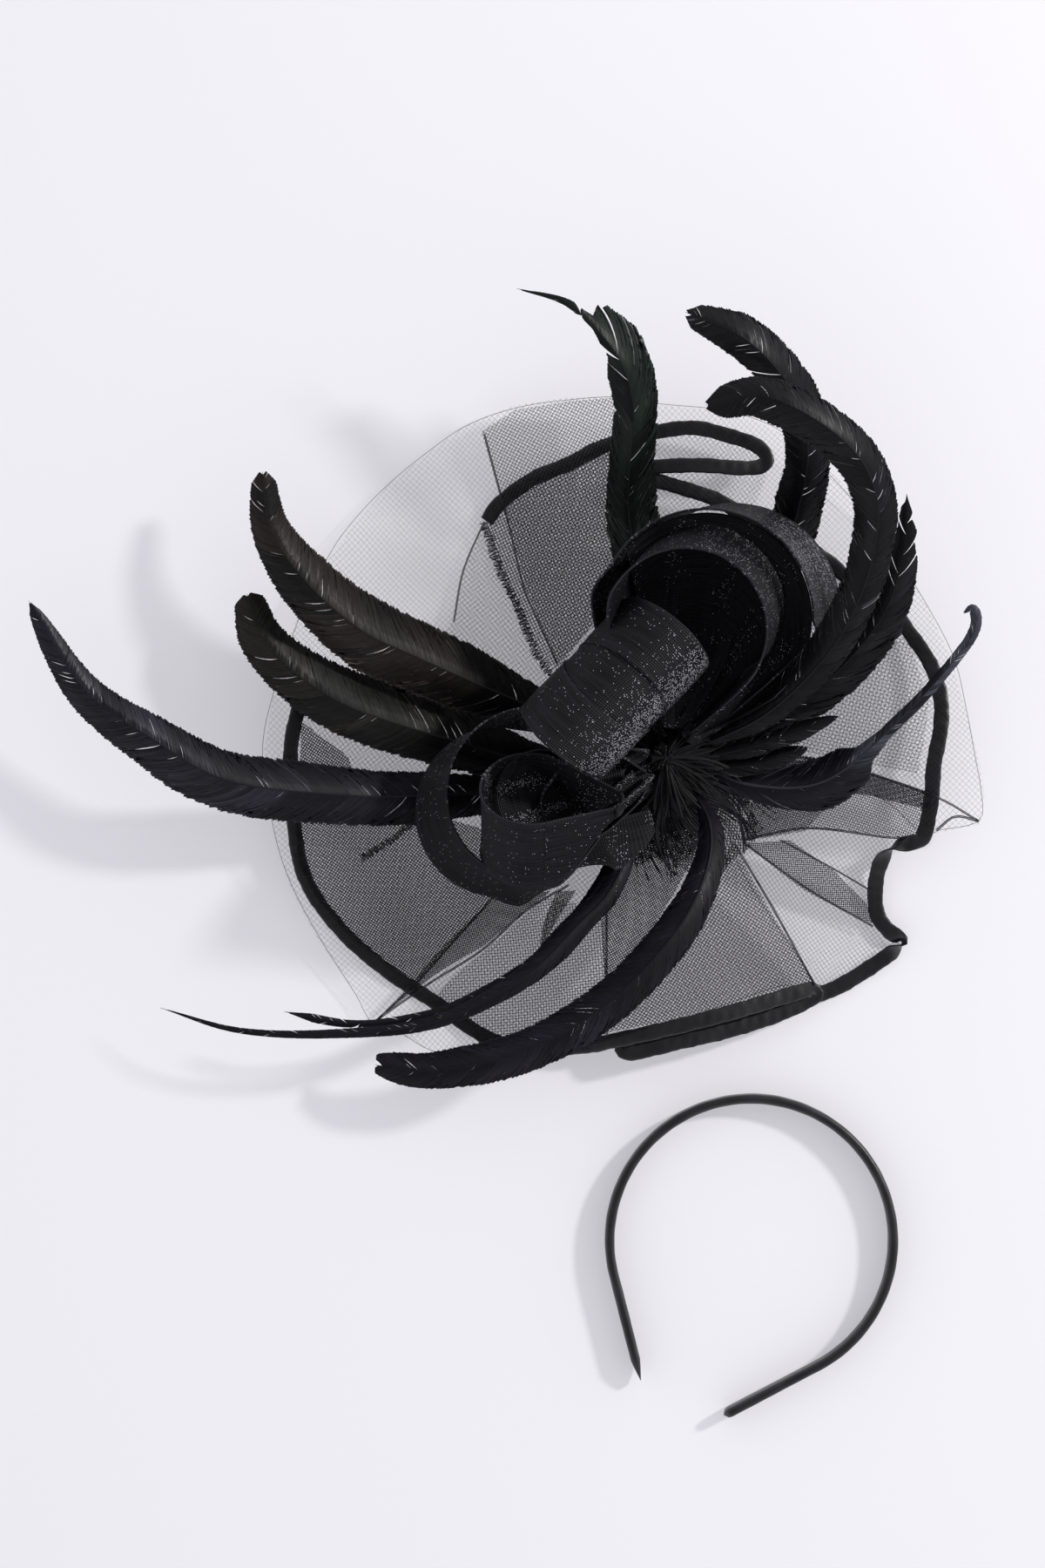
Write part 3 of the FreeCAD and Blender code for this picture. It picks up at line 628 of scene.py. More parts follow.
# Where the binding runs, and how far it is lifted off the net; at a fold it doubles back on itself.
BINDING_ROUTE = [
    (-142, 30, 0), (-151, 26, 0), (-155, 20, 0), (-158, 5, 0), (-158, -11, 0),
    (-157, -26, 0), (-154, -46, 0), (-147, -61, 0), (-133, -78, 0), (-115, -93, 0), (-98, -104, 0),
    (-76, -119, 0), (-60, -123, 0), (-36, -123, 0), (-20, -120, 1), (8, -113.5, 2.5), (35, -106.5, 3),
    (56, -100.5, 3), (63, -99, 2.5), (65, -102, 1.5), (49, -109.5, 0.8), (28, -116, 0), (8, -120.5, 0),
    (-14, -125.5, 0), (-15, -121.5, -0.5), (11, -117, -1), (44, -107, -0.5), (67, -101, 0), (77, -97, 0.5),
    (90, -89, 1), (101, -81, 1.5), (103, -78, 2), (97, -74, 2), (92, -67, 1), (91, -56, 0.5),
    (93, -45, 1), (98, -38, 2), (106, -36, 3), (111, -33, 2), (114, -17, 1), (115, -3, 0.3),
    (118, 13, 0), (118, 26, 0), (114, 40, 0), (105, 54, 0), (96, 66, 0), (78, 78, 0), (71, 84, 0),
    (52, 96, 0), (35, 103, 0), (22, 110, 0), (3, 116, 0), (-7, 119, 1), (-5, 123, 2), (15, 124, 3),
    (33, 123, 3), (42, 124, 3), (44, 128, 3), (39, 133, 2), (27, 137, 1), (13, 140, 0.5),
    (-4, 138, 0), (-26, 132, 0), (-40, 125, 0), (-55, 119, 0), (-69, 109, 0.5), (-75, 101, 1),
]
BINDING_TWISTS = [(102, -79), (97, -38)]
TWIST_LENGTH = 18

def binding_width(x, y):
    """The tape is a little wider along the lower right of the brim, where it lies flat."""
    return 6.4 + 0.4 * eased((x - y - 60) / 80)


def make_binding():
    route = np.array(BINDING_ROUTE, float)
    path = smooth_path(route, 900)
    run = np.linspace(0, run_length(path), len(path))
    height = np.maximum(brim_height(path[:, 0], path[:, 1]) + path[:, 2], 1.3)
    line = np.column_stack([path[:, 0], path[:, 1], height])
    along = directions(line)
    side = np.column_stack([-along[:, 1], along[:, 0], np.zeros(len(line))])
    side /= np.linalg.norm(side, axis=1)[:, None]
    up = np.cross(along, side)
    roll = np.zeros(len(line))
    for x, y in BINDING_TWISTS:
        at = run[np.argmin(np.hypot(line[:, 0] - x, line[:, 1] - y))]
        roll += math.pi * eased((run - at) / TWIST_LENGTH + 0.5)
    pucker = 1 + 0.04 * np.sin(run / 0.75) * np.sin(run / 3.1) + 0.03 * np.sin(run / 1.9)
    wide = binding_width(line[:, 0], line[:, 1]) * pucker / 2
    thick = 0.62 + 0.10 * np.sin(run / 1.1) * np.cos(run / 2.7)
    rings = []
    around = np.linspace(0.3, 2 * math.pi - 0.3, 15)
    for turn, cloth in [(a, 0.0) for a in around] + [(a, 0.25) for a in around[::-1]]:
        flat = np.sign(math.cos(turn)) * abs(math.cos(turn)) ** 0.7
        high = np.sign(math.sin(turn)) * abs(math.sin(turn)) ** 0.8
        ripple = 0.07 * np.sin(run / 0.9 + 3 * turn)
        across = flat * (wide - cloth)
        above = high * (thick - cloth) + ripple
        rings.append(line + side * (across * np.cos(roll) - above * np.sin(roll))[:, None]
                     + up * (across * np.sin(roll) + above * np.cos(roll))[:, None])
    rings = np.stack(rings, axis=1)
    rings[:, :, 2] = np.maximum(rings[:, :, 2], 0.15)
    points, faces = loft(rings)
    binding = make_piece("satin_edge_binding", points, faces, MATERIAL["satin"], "fascinator")
    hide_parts("satin_binding")


def fuzzy_seam(points, lift, reach, gap, seed):
    """A pleat's gathered seam: short crooked thread ends either side of a line."""
    random = np.random.default_rng(seed)
    path = smooth_path(points, max(6, int(run_length(np.asarray(points, float)) / gap)))
    side = directions(path)
    parts = []
    for (x, y), (dx, dy) in zip(path[:, :2], side[:, :2]):
        for sign in (-1, 1):
            long = reach * random.uniform(0.5, 1.1)
            lean = random.uniform(-0.6, 0.6)
            end = (x + sign * long * (-dy + lean * dx), y + sign * long * (dx + lean * dy))
            middle = ((x + end[0]) / 2 + random.uniform(-0.3, 0.3), (y + end[1]) / 2)
            line = np.array([(x, y), middle, end])
            z = brim_height(line[:, 0], line[:, 1]) + lift + np.array([0, 0.8, 0.4])
            parts.append(thread_prism(np.column_stack([line, z]), 0.45, 0.35))
    return parts


SEAMS = [
    ([(-76, 100), (-69, 79), (-62, 65), (-55, 47), (-46, 33)], 2.8, 2.2),
    ([(-128, -43), (-117, -36), (-106, -28), (-94, -20)], 3.2, 1.8),
    ([(44, 3), (60, 0), (76, -3)], 3.4, 0.9),
]

def make_seams():
    parts = []
    for number, (points, lift, reach) in enumerate(SEAMS):
        parts += fuzzy_seam(points, lift, reach, 0.55, 40 + number)
    points, faces = gather(parts)
    make_piece("gathered_seams", points, faces, MATERIAL["net"], "fascinator", smooth=False)


# ---- ribbon loops ----

RIBBON_THICK = 0.5
ACROSS = 25

def bell(value, middle, spread):
    return math.exp(-((value - middle) / spread) ** 2)


def ribbon(name, rim, run, replaced, glints, cup=0.5):
    """A crin band: rim is its upper edge, run the step to its lower edge at each point of the rim."""
    rim, run = np.asarray(rim, float), np.asarray(run, float)
    along = directions(rim)
    normal = np.cross(along, run)
    normal /= np.linalg.norm(normal, axis=1)[:, None]
    wide = np.linalg.norm(run, axis=1)
    shares = np.linspace(0, 1, ACROSS)
    far = np.r_[0, np.cumsum(np.linalg.norm(np.diff(rim, axis=0), axis=1))]
    front, back, uv, glint, edge = [], [], [], [], []
    for share in shares:
        selvage = 0.22 * max(0, 1 - min(share, 1 - share) * wide.mean() / 1.0)
        bow = cup * math.sin(math.pi * share) + 0.05 * np.sin(far / 2.3 + 9 * share)
        middle = rim + run * share + normal * np.reshape(bow, (-1, 1))
        front.append(middle + normal * (RIBBON_THICK / 2 + selvage))
        back.append(middle - normal * (RIBBON_THICK / 2 + selvage))
        uv.append(np.column_stack([far, share * wide]))
        # The glint mark sets how many weave cells are painted as bright highlight specks along the band.
        glint.append(np.array([glints(f / far[-1], share) for f in far]))
        edge.append(np.full(len(far), max(0, 1 - min(share, 1 - share) * wide.mean() / 1.6)))
    rings = np.concatenate([np.stack(front, 1), np.stack(back, 1)[:, ::-1]], axis=1)
    points, faces = loft(rings)
    table = np.concatenate([np.stack(uv, 1), np.stack(uv, 1)[:, ::-1]], axis=1).reshape(-1, 2)
    marks = np.concatenate([np.stack(glint, 1), np.stack(glint, 1)[:, ::-1]], axis=1).ravel()
    edges = np.concatenate([np.stack(edge, 1), np.stack(edge, 1)[:, ::-1]], axis=1).ravel()
    table = np.vstack([table, table[:1], table[-1:]])
    marks = [("glint", np.r_[marks, 0, 0]), ("selvage", np.r_[edges, 0, 0])]
    band = make_piece(name, points, faces, MATERIAL["ribbon"], "fascinator",
                      uv=("weave", table), marks=marks)
    if replaced:
        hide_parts(replaced)


BARREL_AXIS = np.array([0.692, 0.722, 0])
BARREL_MIDDLE = np.array([-21.4, 28.8, 45])
BARREL_RADIUS = 22.3
BARREL_PITCH = 21.8
BARREL_BAND = 25.8
BARREL_FAN = 7.0

def make_barrel():
    """Three bands side by side, overlapping a little, that arch over the middle of the bow."""
    lower_right = np.array([BARREL_AXIS[1], -BARREL_AXIS[0], 0])
    top = np.array([0, 0, 1.0])
    for number, side in enumerate(("left", "middle", "right")):
        angles = np.radians(np.linspace(-118, 140, 150))
        radius = BARREL_RADIUS - (0.7 if side == "middle" else 0)
        centre = BARREL_MIDDLE + BARREL_AXIS * BARREL_PITCH * (number - 1)
        fan = BARREL_FAN * (number - 1) * (np.cos(angles) - 0.62)[:, None] * BARREL_AXIS
        lean = fan + 1.6 * np.sin(angles * 0.9)[:, None] * BARREL_AXIS
        arc = centre + radius * (np.sin(angles)[:, None] * lower_right + np.cos(angles)[:, None] * top)
        rim = arc - BARREL_AXIS * BARREL_BAND / 2 + lean
        run = np.tile(BARREL_AXIS * BARREL_BAND, (len(angles), 1))

        # Painted highlights: specks are painted mostly on the lower right side of each band's arch, where the
        # light catches it.
        def glints(f, v):
            return 0.015 + 0.42 * bell(f, 0.68, 0.075) + 0.05 * bell(f, 0.56, 0.08)

        ribbon(f"ribbon_centre_{side}", rim, run, f"centre_band_{side}", glints, cup=0.25)


def make_front_loop():
    """The teardrop loop in front of the bow."""
    big, small, length, wide = 20.7, 5.8, 33.0, 37.5
    lean = math.acos((big - small) / length)
    turn = math.pi - lean
    outer = [(length + big * math.cos(a), big * math.sin(a)) for a in np.linspace(-turn, turn, 90)]
    tied = [(small * math.cos(a), small * math.sin(a)) for a in np.linspace(turn, 2 * math.pi - turn, 16)]
    shape = smooth_path([(x, y, 0) for x, y in outer + tied + outer[:1]], 180)
    depth = np.array([0, -0.7071, -0.7071])
    out = np.array([-32, 8, 0.0])
    out -= depth * (out @ depth)
    out /= np.linalg.norm(out)
    side = np.cross(depth, out)
    rim = np.array([-24, -17, 67]) + shape[:, :1] * out + shape[:, 1:2] * side
    run = depth * wide * (0.14 + 0.86 * eased((shape[:, :1] + small) / 26))

    # Painted highlights: the glint mark places painted highlight specks in a narrow band along the loop.
    def glints(f, v):
        return 0.012 + 0.22 * bell(f, 0.30, 0.022) + 0.05 * bell(f, 0.62, 0.06)

    ribbon("ribbon_left_front", rim, run, "loop_left_front", glints, cup=-0.6)


# Open loops: name, CAD node, rim centre, rim radius, first and last angle, run of the width,
# and the points by which each end comes from and goes back to the knot.
OPEN_LOOPS = [
    ("ribbon_left_back", "loop_left_back", (-55.5, -15, 43), 35.7, 84, 262, (-13.5, -8, -21),
     [(-16, 8, 26), (-36, 16, 36)], [(-46, -54, 40), (-32, -40, 33), (-18, -20, 26)]),
    ("ribbon_right_front", "loop_right_front", (7, 52, 66), 33.7, -44, 158, (11, 14.5, -26),
     [(8, 8, 32), (20, 18, 50)], [(-24, 52, 58), (-17, 32, 44), (-8, 14, 32)]),
    ("ribbon_right_back", "loop_right_back", (16, 58, 52), 44.7, -14, 152, (13, 4, -25),
     [(12, 7, 30), (30, 20, 38)], [(-31, 66, 48), (-25, 40, 40), (-12, 16, 30)]),
]

def make_open_loops():
    for name, node, centre, radius, first, last, run, begin, end in OPEN_LOOPS:
        angles = np.radians(np.linspace(first, last, 14))
        arc = np.array([(centre[0] + radius * math.cos(a), centre[1] + radius * math.sin(a), centre[2])
                        for a in angles])
        rim = smooth_path(np.vstack([begin, arc, end]), 220)
        share = np.linspace(0, 1, len(rim))
        tail = 1 - eased(np.minimum(share, 1 - share) / 0.2)
        step = np.array(run, float) * (1 - 0.6 * tail)[:, None]

        # Painted highlights: the glint mark places painted highlight specks, in rows on the outer back loop.
        def glints(f, v):
            if node == "loop_right_back":
                rows = 0.25 + 0.75 * (math.sin(v * 2 * math.pi * 8) > 0.1)
                return 0.01 + 0.42 * rows * bell(f, 0.40, 0.07) + 0.05 * (f > 0.55)
            if node == "loop_right_front":
                return 0.01 + 0.07 * bell(f, 0.45, 0.12)
            return 0.01 + 0.20 * bell(f, 0.24, 0.09)

        ribbon(name, rim, step, node, glints, cup=0.8)


# Ribbon ends folded inside the loops: name, rim, run of the width, amount of glint.
INNER_FOLDS = [
    ("ribbon_fold_left", [(-8, -6, 36), (-24, 2, 42), (-42, -4, 46), (-52, -18, 45), (-46, -31, 43),
                          (-30, -34, 39), (-12, -20, 32), (-6, -10, 28)], (-2, -3, -20), 0.16),
    ("ribbon_fold_lower", [(-6, -2, 30), (-24, 2, 34), (-44, 0, 35), (-62, -6, 34)], (2, -24, -4), 0.12),
    ("ribbon_fold_lowest", [(-6, -22, 26), (-24, -26, 30), (-46, -28, 31), (-60, -26, 30)],
     (4, -20, -4), 0.10),
    ("ribbon_fold_right", [(8, 12, 32), (20, 30, 37), (28, 50, 38), (26, 74, 36)], (-22, 4, -3), 0.05),
    ("ribbon_fold_upper", [(4, 12, 33), (4, 34, 40), (4, 54, 42), (6, 78, 38)], (-22, 2, -2), 0.06),
    ("ribbon_fold_outer", [(14, 6, 30), (32, 22, 34), (42, 40, 35), (44, 60, 33)], (-20, 10, -2), 0.04),
]

def make_inner_folds():
    for name, rim, run, amount in INNER_FOLDS:
        line = smooth_path(rim, 120)
        share = np.linspace(0, 1, len(line))
        narrow = 0.55 + 0.45 * eased(share / 0.3)
        step = np.array(run, float) * narrow[:, None]
        step[:, 0] += 2.5 * np.sin(share * 17)
        step[:, 1] += 2.0 * np.sin(share * 13 + 1)

        # Painted highlights: highlight specks painted in soft waves along the fold.
        def glints(f, v):
            return amount * (0.5 + 0.5 * math.sin(f * 21 + 3 * v)) ** 2

        ribbon(name, line, step, None, glints, cup=1.2)


# Ribbons drawn in to the knot inside a loop: name, rim centre, radius, first and last angle, amount of glint.
# These cones fill each loop's inside down to the knot with dark ribbon: partly the loop's inner faces, partly
# painted shade where the inside of the loop lies in shade.
DRAWN_RIBBONS = [
    ("ribbon_drawn_right", (17, 65, 42), 33.0, -60, 205, 0.07),
    ("ribbon_drawn_outer", (17, 58, 47), 43.6, -50, 140, 0.05),
    ("ribbon_drawn_left", (-52, -16, 48), 19.0, 60, 320, 0.30),
]

def make_drawn_ribbons():
    for name, centre, radius, first, last, amount in DRAWN_RIBBONS:
        angles = np.radians(np.linspace(first, last, 16))
        line = smooth_path([(centre[0] + radius * math.cos(a), centre[1] + radius * math.sin(a), centre[2])
                            for a in angles], 200)
        share = np.linspace(0, 1, len(line))
        target = np.array([0, 0, 31.0]) + np.column_stack([4 * np.sin(share * 21), 4 * np.cos(share * 17),
                                                           2 * np.sin(share * 40)])
        step = (target - line) * 0.8

        # Painted highlights: highlight specks painted in short bursts along the drawn ribbon.
        def glints(f, v):
            return amount * (0.5 + 0.5 * math.sin(f * 33)) ** 3

        ribbon(name, line, step, None, glints, cup=-3.0)


GATHER_THREADS = 1100

def make_gather():
    """Net drawn in to the knot: threads that run down and out from it in shallow pleats."""
    random = np.random.default_rng(7)
    parts = []
    for index in range(GATHER_THREADS):
        turn = 2 * math.pi * index / GATHER_THREADS + random.uniform(-0.01, 0.01)
        far = random.uniform(30, 54)
        pleat = math.sin(turn * 15 + 0.6 * math.sin(turn * 4))
        reach = np.linspace(8, far, 9)
        bend = turn + 0.10 * np.sin(reach / 9 + 3 * turn) + 0.16 * (reach / 54) ** 2 * math.cos(turn * 15)
        fall = eased((reach - 8) / (far - 8))
        drop = (27 - BRIM_LEVEL - NET_GAP - 0.8) * fall ** 0.55
        height = 27 - drop + 2.2 * pleat * (1 - fall) * eased(reach / 14)
        x, y = reach * np.cos(bend), reach * np.sin(bend)
        parts.append(thread_prism(np.column_stack([x, y, height]), 0.42, 0.3))
    points, faces = gather(parts)
    make_piece("gathered_net_centre", points, faces, MATERIAL["net"], "fascinator", smooth=False)


# ---- feathers ----

# Each feather: quill points root to tip; then half-widths of the vane (share, left, right) seen
# from above, looking from root to tip; barb lean in degrees, how much the barbs clump, and its finish.
FEATHERS = {
    "feather_left_long": (
        [(-14, -3, 15.5), (-60, -13, 15.5), (-102, -16, 18), (-132, -16, 27), (-182, -10, 38),
         (-215, 8, 38), (-244, 29, 32), (-268, 66, 24)],
        [(0, 1, 1), (0.1, 6, 4), (0.25, 11, 9), (0.45, 12, 12), (0.62, 12, 10), (0.78, 8.5, 7),
         (0.9, 5.5, 4.5), (0.97, 3, 2.5), (1, 0.5, 0.5)], 30, 0.08, "slate"),
    "feather_left_middle": (
        [(-13, 1, 18), (-45, -4, 18), (-88, 7, 19.5), (-121, 17, 28), (-138, 24, 31), (-156, 36, 30),
         (-169, 50, 27), (-176, 69, 23)],
        [(0, 1, 1), (0.1, 7, 5), (0.3, 11, 13), (0.5, 12, 15), (0.7, 11, 11.5), (0.86, 9, 8),
         (0.95, 6, 6), (1, 2, 2)], 34, 0.08, "olive"),
    "feather_left_upper": (
        [(-13, 4, 20.3), (-30, 10, 20.5), (-60, 23, 21), (-104, 42, 33), (-127, 53, 37),
         (-149, 72, 38), (-165, 95, 34), (-169, 120, 30)],
        [(0, 1, 1), (0.1, 7, 6), (0.3, 13, 13), (0.5, 14, 14), (0.7, 11, 11), (0.86, 7, 7),
         (0.95, 5, 5), (1, 2, 2)], 33, 0.10, "brown"),
    "feather_top": (
        [(-3, 14, 16), (-8, 50, 18), (-12, 83, 19.5), (-15, 104, 27), (-15, 124, 46), (-14, 145, 60),
         (-21, 165, 66), (-40, 185, 66), (-62, 193, 60)],
        [(0, 1, 1), (0.12, 8, 8), (0.25, 10, 12), (0.42, 8, 10), (0.55, 8, 9), (0.66, 7, 12),
         (0.75, 3, 9), (0.82, 1.4, 3), (0.92, 0.9, 1.2), (1, 0.3, 0.3)], 20, 0.40, "green"),
    "feather_right_back": (
        [(5, 14, 16.5), (28, 55, 18), (50, 86, 19), (57, 107, 25), (59, 124, 45), (56, 138, 62),
         (49, 152, 74), (31, 170, 78), (7, 182, 70)],
        [(0, 1, 1), (0.15, 7, 7), (0.3, 11, 10), (0.5, 8.5, 9), (0.7, 8.5, 9), (0.85, 8, 8.5),
         (0.95, 5, 5), (1, 1.5, 1.5)], 30, 0.26, "black"),
    "feather_right_arched": (
        [(14, 4, 24), (42, 18, 40), (66, 42, 57), (79, 66, 67), (84, 86, 76), (84, 104, 86),
         (75, 122, 93), (56, 137, 95), (35, 146, 90), (15, 143, 78)],
        [(0, 1, 1), (0.1, 6, 5), (0.25, 9, 6.5), (0.45, 9, 7), (0.65, 9, 8), (0.8, 9, 8),
         (0.92, 7, 6), (1, 2, 2)], 28, 0.18, "black"),
    "feather_right_side": (
        [(14, 1, 20), (38, 10, 27), (62, 27, 36), (80, 45, 46), (92, 64, 55), (98, 89, 62),
         (98, 108, 66)],
        [(0, 1, 1), (0.1, 6, 6), (0.3, 9, 10), (0.5, 9, 10), (0.7, 7, 7), (0.85, 4, 4),
         (0.95, 2, 1.5), (1, 0.3, 0.3)], 24, 0.45, "black"),
    "feather_curled": (
        [(14, -3, 17), (40, -12, 18), (70, -9, 22), (102, 19, 30), (122, 42, 38), (129, 54, 43),
         (128, 62, 44), (124, 60, 43)],
        [(0, 1, 1), (0.08, 6, 6), (0.2, 10, 11), (0.33, 8, 9), (0.42, 4, 4.5), (0.52, 2.6, 2.6),
         (0.8, 2.2, 2.2), (0.93, 2.2, 2.2), (1, 0.6, 0.6)], 22, 0.12, "curl"),
    "feather_short_upper": (
        [(13, -1, 22.5), (42, 6, 32), (72, 17, 42)],
        [(0, 1, 1), (0.2, 4, 4), (0.6, 4, 4), (0.85, 2, 2), (1, 0.3, 0.3)], 20, 0.45, "black"),
    "feather_short_lower": (
        [(13.5, -5, 20), (38, -3, 24), (60, 4, 31)],
        [(0, 1, 1), (0.2, 4, 4), (0.6, 4, 4), (0.85, 2, 2), (1, 0.3, 0.3)], 20, 0.45, "black"),
    "feather_bottom_long": (
        [(10, -10, 19), (19, -28, 30), (17, -48, 38), (4, -73, 42), (-23, -102, 40), (-58, -123, 34),
         (-97, -132, 26), (-122, -130, 20)],
        [(0, 1, 1), (0.08, 5, 5), (0.25, 8, 8), (0.5, 8.5, 8.5), (0.75, 8, 8), (0.9, 6, 6.5),
         (0.97, 4, 4.5), (1, 2, 2)], 24, 0.05, "navy"),
    "feather_bottom_thin": (
        [(-5, -14, 20), (-21, -53, 26), (-36, -70, 30), (-60, -93, 34), (-97, -111, 34),
         (-139, -116, 32), (-179, -115, 26), (-213, -106, 18)],
        [(0, 1, 1), (0.1, 4, 4), (0.25, 5.5, 5.5), (0.4, 3.5, 3.5), (0.6, 2.2, 2.2), (0.75, 1.6, 1.6),
         (0.9, 1, 1), (1, 0.2, 0.2)], 20, 0.14, "navy"),
    "feather_bottom_short": (
        [(-8, -13, 16), (-27, -55, 20), (-52, -84, 24), (-83, -102, 28), (-104, -109, 29),
         (-132, -112, 29), (-160, -107, 28)],
        [(0, 1, 1), (0.1, 3, 3), (0.3, 3.4, 3.4), (0.6, 1.8, 1.8), (0.8, 1.5, 1.5), (0.92, 1.8, 1.8),
         (1, 0.2, 0.2)], 24, 0.2, "navy"),
}
BARB_SPACING = 0.55
BARB_STEPS = 6
LOWEST_BARB = 0.3

def tube(path, radius, upright=(0, 0, 1.0)):
    """A six-sided tube along a path, of one radius or one for each point."""
    along = directions(path)
    side = np.cross(along, np.array(upright))
    side /= np.linalg.norm(side, axis=1)[:, None]
    up = np.cross(side, along)
    radius = np.reshape(radius, (-1, 1))
    rings = [path + radius * (side * math.cos(a) + up * math.sin(a))
             for a in np.linspace(0, 2 * math.pi, 6, endpoint=False)]
    return loft(np.stack(rings, axis=1))


def quill_tube(path, reach):
    """A round, tapering quill along the path."""
    radius = np.interp(np.linspace(0, 1, len(path)), [0, 0.3, 1], [reach, reach * 0.55, 0.1])
    points, faces = tube(path, radius)
    return points, faces, np.tile([0.0, 0.35], (len(points), 1))


def feather_vane(path, widths, lean, clump, painted_root_shade, random):
    """Both sides of the vane: a corrugated sheet of barbs that parts into clumps towards the margin."""
    length = run_length(path)
    far = np.linspace(0, length, len(path))
    along = directions(path)
    side = np.column_stack([-along[:, 1], along[:, 0], np.zeros(len(path))])
    side /= np.linalg.norm(side, axis=1)[:, None]
    up = np.cross(along, side)
    up *= np.sign(up[:, 2:3])
    table = np.array(widths, float)
    shares = np.linspace(0, 1, BARB_STEPS + 1)
    parts, uv = [], []

    def at(distance, values):
        flat = distance.ravel()
        columns = [np.interp(flat, far, values[:, k]) for k in range(3)]
        return np.column_stack(columns).reshape(distance.shape + (3,))

    for sign, column in ((1, 1), (-1, 2)):
        start = 0.02 * length
        while start < 0.985 * length:
            size = 2 + 24 * random.random() ** 2.5
            part = clump * random.uniform(0.1, 1.3) if random.random() < 0.08 + clump else 0.0
            if start > 0.84 * length and clump < 0.3:
                part = 0.0
            size = min(size, 0.995 * length - start)
            rows = max(3, int(size / BARB_SPACING * 2))
            roots = np.linspace(start, start + size, rows)
            ridge = (np.arange(rows) % 2)[:, None]
            half = 1.1 * np.interp(roots / length, table[:, 0], table[:, column])
            half *= np.sqrt(1 - np.clip((roots / length - 0.93) / 0.075, 0, 0.995) ** 2)
            short = np.where(ridge[:, 0] == 1, random.uniform(0.95, 1.04, rows),
                             random.uniform(0.84, 0.93, rows))
            ahead = half / math.tan(math.radians(lean + 4 * part)) * 0.75
            half = half * short * (1 - 0.35 * part * random.random())
            ahead = np.minimum(ahead, (length - roots) * 0.97 + 0.2)
            pull = (start + size / 2 - roots) * part * 0.8
            distance = roots[:, None] + ahead[:, None] * shares ** 1.15 + pull[:, None] * shares ** 2
            distance = np.clip(distance, 0, length)
            out = half[:, None] * (1 - (1 - shares) ** 1.25)
            tilt = random.uniform(-0.10, 0.10) * (0.2 + 2 * part)
            relief = (ridge * 0.24 - 0.06) * (1 - 0.6 * shares)
            rise = relief + out * tilt - 0.016 * out ** 2 + random.uniform(-0.02, 0.02, (rows, 1))
            points = at(distance, path) + sign * at(distance, side) * out[..., None]
            points += at(distance, up) * rise[..., None]
            grid = np.arange(points.shape[0] * points.shape[1]).reshape(points.shape[:2])
            quads = np.stack([grid[:-1, :-1], grid[1:, :-1], grid[1:, 1:], grid[:-1, 1:]], axis=-1)
            parts.append((points.reshape(-1, 3), quads.reshape(-1, 4)))
            # Random tint per clump, times painted shade that darkens the barbs near the root, by the knot.
            tint = random.uniform(0.15, 0.8) * np.interp(roots / length, [0.3, 0.5], [painted_root_shade, 1])[:, None]
            value = np.clip(tint * (1 + random.uniform(-0.6, 0.6, (rows, 1))) + 0.1 * shares, 0, 0.9)
            # A few barbs are painted as highlights: their value goes to the top of the ramp, the glint colour
            # where the finish has one.
            bright = random.random((rows, 1)) < 0.01 + 0.03 * clump
            value = np.where(bright & (shares > 0.3), 1.0, value)
            uv.append(np.column_stack([np.tile(shares, rows), value.ravel()]))
            start += size
    points, faces = gather(parts)
    return points, faces, np.vstack(uv)


def make_feathers():
    for number, (node, (points, widths, lean, clump, finish)) in enumerate(FEATHERS.items()):
        random = np.random.default_rng(100 + number)
        path = smooth_path(points, 160)
        # Painted shade on the barbs near the knot, darkest on the curled feather.
        painted_root_shade = 0.0 if finish == "curl" else 0.7
        barbs, strips, barb_uv = feather_vane(path, widths, lean, clump, painted_root_shade, random)
        quill, sides, quill_uv = quill_tube(path, 0.9 if widths[2][1] > 4 else 0.6)
        table, faces = gather([(barbs, strips), (quill, sides)])
        table[:, 2] = np.maximum(table[:, 2], LOWEST_BARB)
        feather = make_piece(node + "_vane", table, faces, MATERIAL[finish], "fascinator",
                             uv=("barb", np.vstack([barb_uv, quill_uv])))
        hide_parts(node)


# ---- the knot where everything is tied ----

WINDING_TURNS = 9
WINDING_RADIUS = 7.4
WINDING_THREAD = 0.55
KNOT_CORE_RADIUS = 6.8

def make_knot():
    """Black thread wound round the gathered ribbon ends and quills."""
    box_low, box_high = (np.array(corner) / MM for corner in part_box("centre_knot"))
    middle = (box_low + box_high) / 2
    tall = (box_high[2] - box_low[2]) / 2 - 2
    middle[2] -= 2
    parts = []
    for wrap, (tilt, turn) in enumerate(((8, 0), (-24, 50), (31, 120), (-12, 200), (40, 280))):
        t = np.linspace(0, WINDING_TURNS * 2 * math.pi, WINDING_TURNS * 26)
        level = np.linspace(-0.82, 0.82, len(t))
        radius = WINDING_RADIUS * np.sqrt(1 - 0.75 * level ** 2) + 0.35 * wrap / 5
        ring = np.column_stack([radius * np.cos(t), radius * np.sin(t), level * tall])
        spin = Matrix.Rotation(math.radians(turn), 3, "Z") @ Matrix.Rotation(math.radians(tilt), 3, "X")
        ring = ring @ np.array(spin).T + middle
        ring[:, 2] = np.clip(ring[:, 2], box_low[2] + 0.4, box_high[2])
        parts.append(tube(ring, WINDING_THREAD, (0.02, 0.01, 1.0)))
    core = []
    around = np.linspace(0, 2 * math.pi, 24, endpoint=False)
    for level in np.linspace(-1, 1, 14):
        radius = KNOT_CORE_RADIUS * math.sqrt(max(0.02, 1 - 0.8 * level ** 2))
        core.append([(middle[0] + radius * math.cos(a) * (1 + 0.05 * math.sin(5 * a)),
                      middle[1] + radius * math.sin(a) * (1 + 0.05 * math.sin(4 * a)),
                      middle[2] + level * tall * 0.96) for a in around])
    parts.append(loft(np.array(core)))
    points, faces = gather(parts)
    knot = make_piece("centre_knot_windings", points, faces, MATERIAL["thread"], "fascinator")
    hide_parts("centre_knot")


TUFT_BARBS = 520

